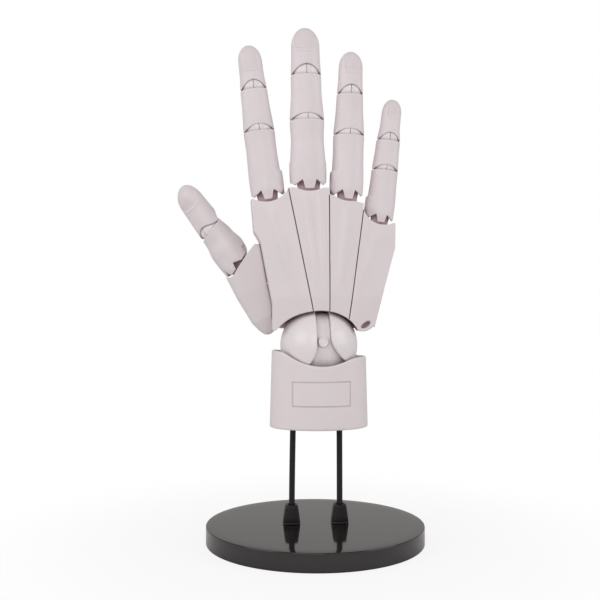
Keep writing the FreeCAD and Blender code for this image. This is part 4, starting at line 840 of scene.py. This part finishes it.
limit = limit + 1.2 * ease(105.8, 103.5, rows[..., 2]) * ease(3.0, 4.0, rows[..., 1])
over = rows[..., 0] - limit
soft = 0.1
bent = np.where(over < -soft, over, -((soft - over) ** 2) / (4.0 * soft))
rows[..., 0] = limit + np.where(over > soft, 0.0, bent)
height = (rows - knuckle) @ thumb_along
across_thumb = (rows - knuckle) @ thumb_across
seat = np.interp(DIAGONAL * (across_thumb + (rows - knuckle) @ thumb_back), *THUMB_SEAT)
above = np.maximum(height - seat, 0.0)
rows = rows - above[..., None] * thumb_along
WEB_TOP = 121.4
rows[..., 2] = np.minimum(rows[..., 2], WEB_TOP)
ends = [np.tile(end_row.mean(axis=0), (1, 176, 1)) for end_row in (rows[0], rows[-1])]
rows = np.concatenate([ends[0], rows, ends[1]])
close("thumb_metacarpal_skin", rows, "thumb_palm", "matte_white", ["thumb_metacarpal"])

# Heel: the back of the palm frame, a rounded half-oval block over the wrist ball, with two round ears for the
# thumb's link. Moulded in one with the middle plate and the outer lobes.
HEEL_FRONT = 0.9
angle = np.linspace(0.0, math.pi, 88)
HEEL_STATIONS = ((87.0, 15.6, 12.1), (87.15, 16.2, 12.7), (87.6, 16.5, 13.0), (92.0, 16.5, 12.9),
                 (98.0, 16.4, 12.1), (102.2, 16.2, 11.0), (103.4, 15.9, 10.5), (103.85, 15.3, 9.8),
                 (104.0, 14.6, 9.0))
rings = []
for height, wide, deep in HEEL_STATIONS:
    curve = np.column_stack([
        WRIST[0] + wide * np.cos(angle), HEEL_FRONT + (deep - HEEL_FRONT) * np.sin(angle),
        np.full(88, height)])
    facing = np.column_stack([
        np.linspace(WRIST[0] - wide, WRIST[0] + wide, 40), np.full(40, HEEL_FRONT), np.full(40, height)])
    rings.append(np.concatenate([curve, facing[1:-1]]))
ends = [np.tile([WRIST[0], 4.0, station[0]], (len(rings[0]), 1))
        for station in (HEEL_STATIONS[0], HEEL_STATIONS[-1])]
rings = [ends[0]] + rings + [ends[1]]
close("heel", rings, "palm", "matte_white", ["palm_frame"])
for side, near, far in (("front", 0.9, 4.9), ("back", 9.5, 12.6)):
    ear = turned([(0.0, near)] + corner((2.6, near + 0.4), 0.4, -90, 0, 5)
                 + corner((2.6, far - 0.4), 0.4, 0, 90, 5) + [(0.0, far)], 64)
    ear = np.stack([ear[..., 0], ear[..., 2], ear[..., 1]], axis=-1) + [-13.0, 0.0, 92.0]
    close(f"link_lug_{side}", ear, "palm", "matte_white", ["palm_frame"])

# Stage: a plain pale floor that catches a soft shadow, a bright even surround seen by the camera as white,
# and three broad lamps: one from each side and one from the front, a little above the hand.
floor_mesh = bpy.data.meshes.new("floor")
floor_corners = [(-4.0, -3.0, 0.0), (4.0, -3.0, 0.0), (4.0, 5.0, 0.0), (-4.0, 5.0, 0.0)]
floor_mesh.from_pydata(floor_corners, [], [(0, 1, 2, 3)])
floor = bpy.data.objects.new("floor", floor_mesh)
bpy.context.scene.collection.objects.link(floor)
floor_look = bpy.data.materials.new("pale_floor")
floor_look.use_nodes = True
floor_nodes = floor_look.node_tree.nodes
floor_nodes["Principled BSDF"].inputs["Roughness"].default_value = 0.85
floor_nodes["Principled BSDF"].inputs["Base Color"].default_value = (0.95, 0.945, 0.95, 1.0)
floor_place = floor_nodes.new("ShaderNodeTexCoord")
floor_away = floor_nodes.new("ShaderNodeVectorMath")
floor_away.operation = "LENGTH"
floor_fade = floor_nodes.new("ShaderNodeMapRange")
floor_fade.interpolation_type = "SMOOTHSTEP"
floor_fade.inputs["From Min"].default_value = 0.055
floor_fade.inputs["From Max"].default_value = 0.16
floor_clear = floor_nodes.new("ShaderNodeBsdfTransparent")
floor_mix = floor_nodes.new("ShaderNodeMixShader")
floor_lift = floor_nodes.new("ShaderNodeMixShader")
floor_white = floor_nodes.new("ShaderNodeEmission")
floor_white.inputs["Strength"].default_value = 1.0
floor_path = floor_nodes.new("ShaderNodeLightPath")
floor_part = floor_nodes.new("ShaderNodeMath")
floor_part.operation = "MULTIPLY"
floor_part.inputs[1].default_value = 0.85
floor_link = floor_look.node_tree.links.new
floor_link(floor_path.outputs["Is Camera Ray"], floor_part.inputs[0])
floor_link(floor_part.outputs[0], floor_lift.inputs["Fac"])
floor_link(floor_nodes["Principled BSDF"].outputs[0], floor_lift.inputs[1])
floor_link(floor_white.outputs[0], floor_lift.inputs[2])
floor_link(floor_place.outputs["Object"], floor_away.inputs[0])
floor_link(floor_away.outputs["Value"], floor_fade.inputs["Value"])
floor_link(floor_fade.outputs["Result"], floor_mix.inputs["Fac"])
floor_link(floor_lift.outputs[0], floor_mix.inputs[1])
floor_link(floor_clear.outputs[0], floor_mix.inputs[2])
floor_link(floor_mix.outputs[0], floor_nodes["Material Output"].inputs["Surface"])
floor_mesh.materials.append(floor_look)

world = bpy.data.worlds.new("surround")
bpy.context.scene.world = world
world.use_nodes = True
sky = world.node_tree.nodes
sky["Background"].inputs["Color"].default_value = (1.0, 0.96, 0.95, 1.0)
sky["Background"].inputs["Strength"].default_value = 0.47
seen = sky.new("ShaderNodeBackground")
seen.inputs["Color"].default_value = (1.0, 1.0, 1.0, 1.0)
seen.inputs["Strength"].default_value = 1.0
path = sky.new("ShaderNodeLightPath")
choose = sky.new("ShaderNodeMixShader")
world.node_tree.links.new(path.outputs["Is Camera Ray"], choose.inputs["Fac"])
world.node_tree.links.new(sky["Background"].outputs[0], choose.inputs[1])
world.node_tree.links.new(seen.outputs[0], choose.inputs[2])
world.node_tree.links.new(choose.outputs[0], sky["World Output"].inputs["Surface"])

for name, place, aim, span, power, tint in (
    ("key", (-0.85, -0.42, 0.45), (0.0, 0.0, 0.12), 0.6, 2.5, (0.985, 0.98, 1.0)),
    ("fill", (0.85, -0.38, 0.40), (0.0, 0.0, 0.12), 0.6, 2.25, (0.985, 0.98, 1.0)),
    ("front", (-0.2, -0.85, 0.42), (0.0, 0.0, 0.12), 0.5, 1.45, (1.0, 0.985, 0.98)),
):
    lamp = bpy.data.lights.new(name, "AREA")
    lamp.size = span
    lamp.energy = power
    lamp.color = tint
    holder = bpy.data.objects.new(name, lamp)
    bpy.context.scene.collection.objects.link(holder)
    holder.location = place
    away = [p - a for p, a in zip(place, aim)]
    spin = math.atan2(away[0], -away[1])
    holder.rotation_euler = (math.acos(away[2] / math.sqrt(sum(c * c for c in away))), 0.0, spin)

# Camera: level with the middle of the fingers' reach, a little to the left of the hand's centre line.
CAMERA_TURN = math.radians(-5.0)
CAMERA_AWAY = 0.3685
CAMERA_SIDE = -0.0062
CAMERA_LEVEL = 0.0986
LENS = 54.0
camera_data = bpy.data.cameras.new("camera")
camera_data.lens = LENS
camera_data.sensor_width = 36.0
camera = bpy.data.objects.new("camera", camera_data)
bpy.context.scene.collection.objects.link(camera)
camera.location = (
    CAMERA_AWAY * math.sin(CAMERA_TURN) + CAMERA_SIDE * math.cos(CAMERA_TURN),
    -CAMERA_AWAY * math.cos(CAMERA_TURN) + CAMERA_SIDE * math.sin(CAMERA_TURN), CAMERA_LEVEL)
camera.rotation_euler = (math.radians(90.0), 0.0, CAMERA_TURN)
bpy.context.scene.camera = camera
bpy.context.scene.view_settings.view_transform = "Standard"
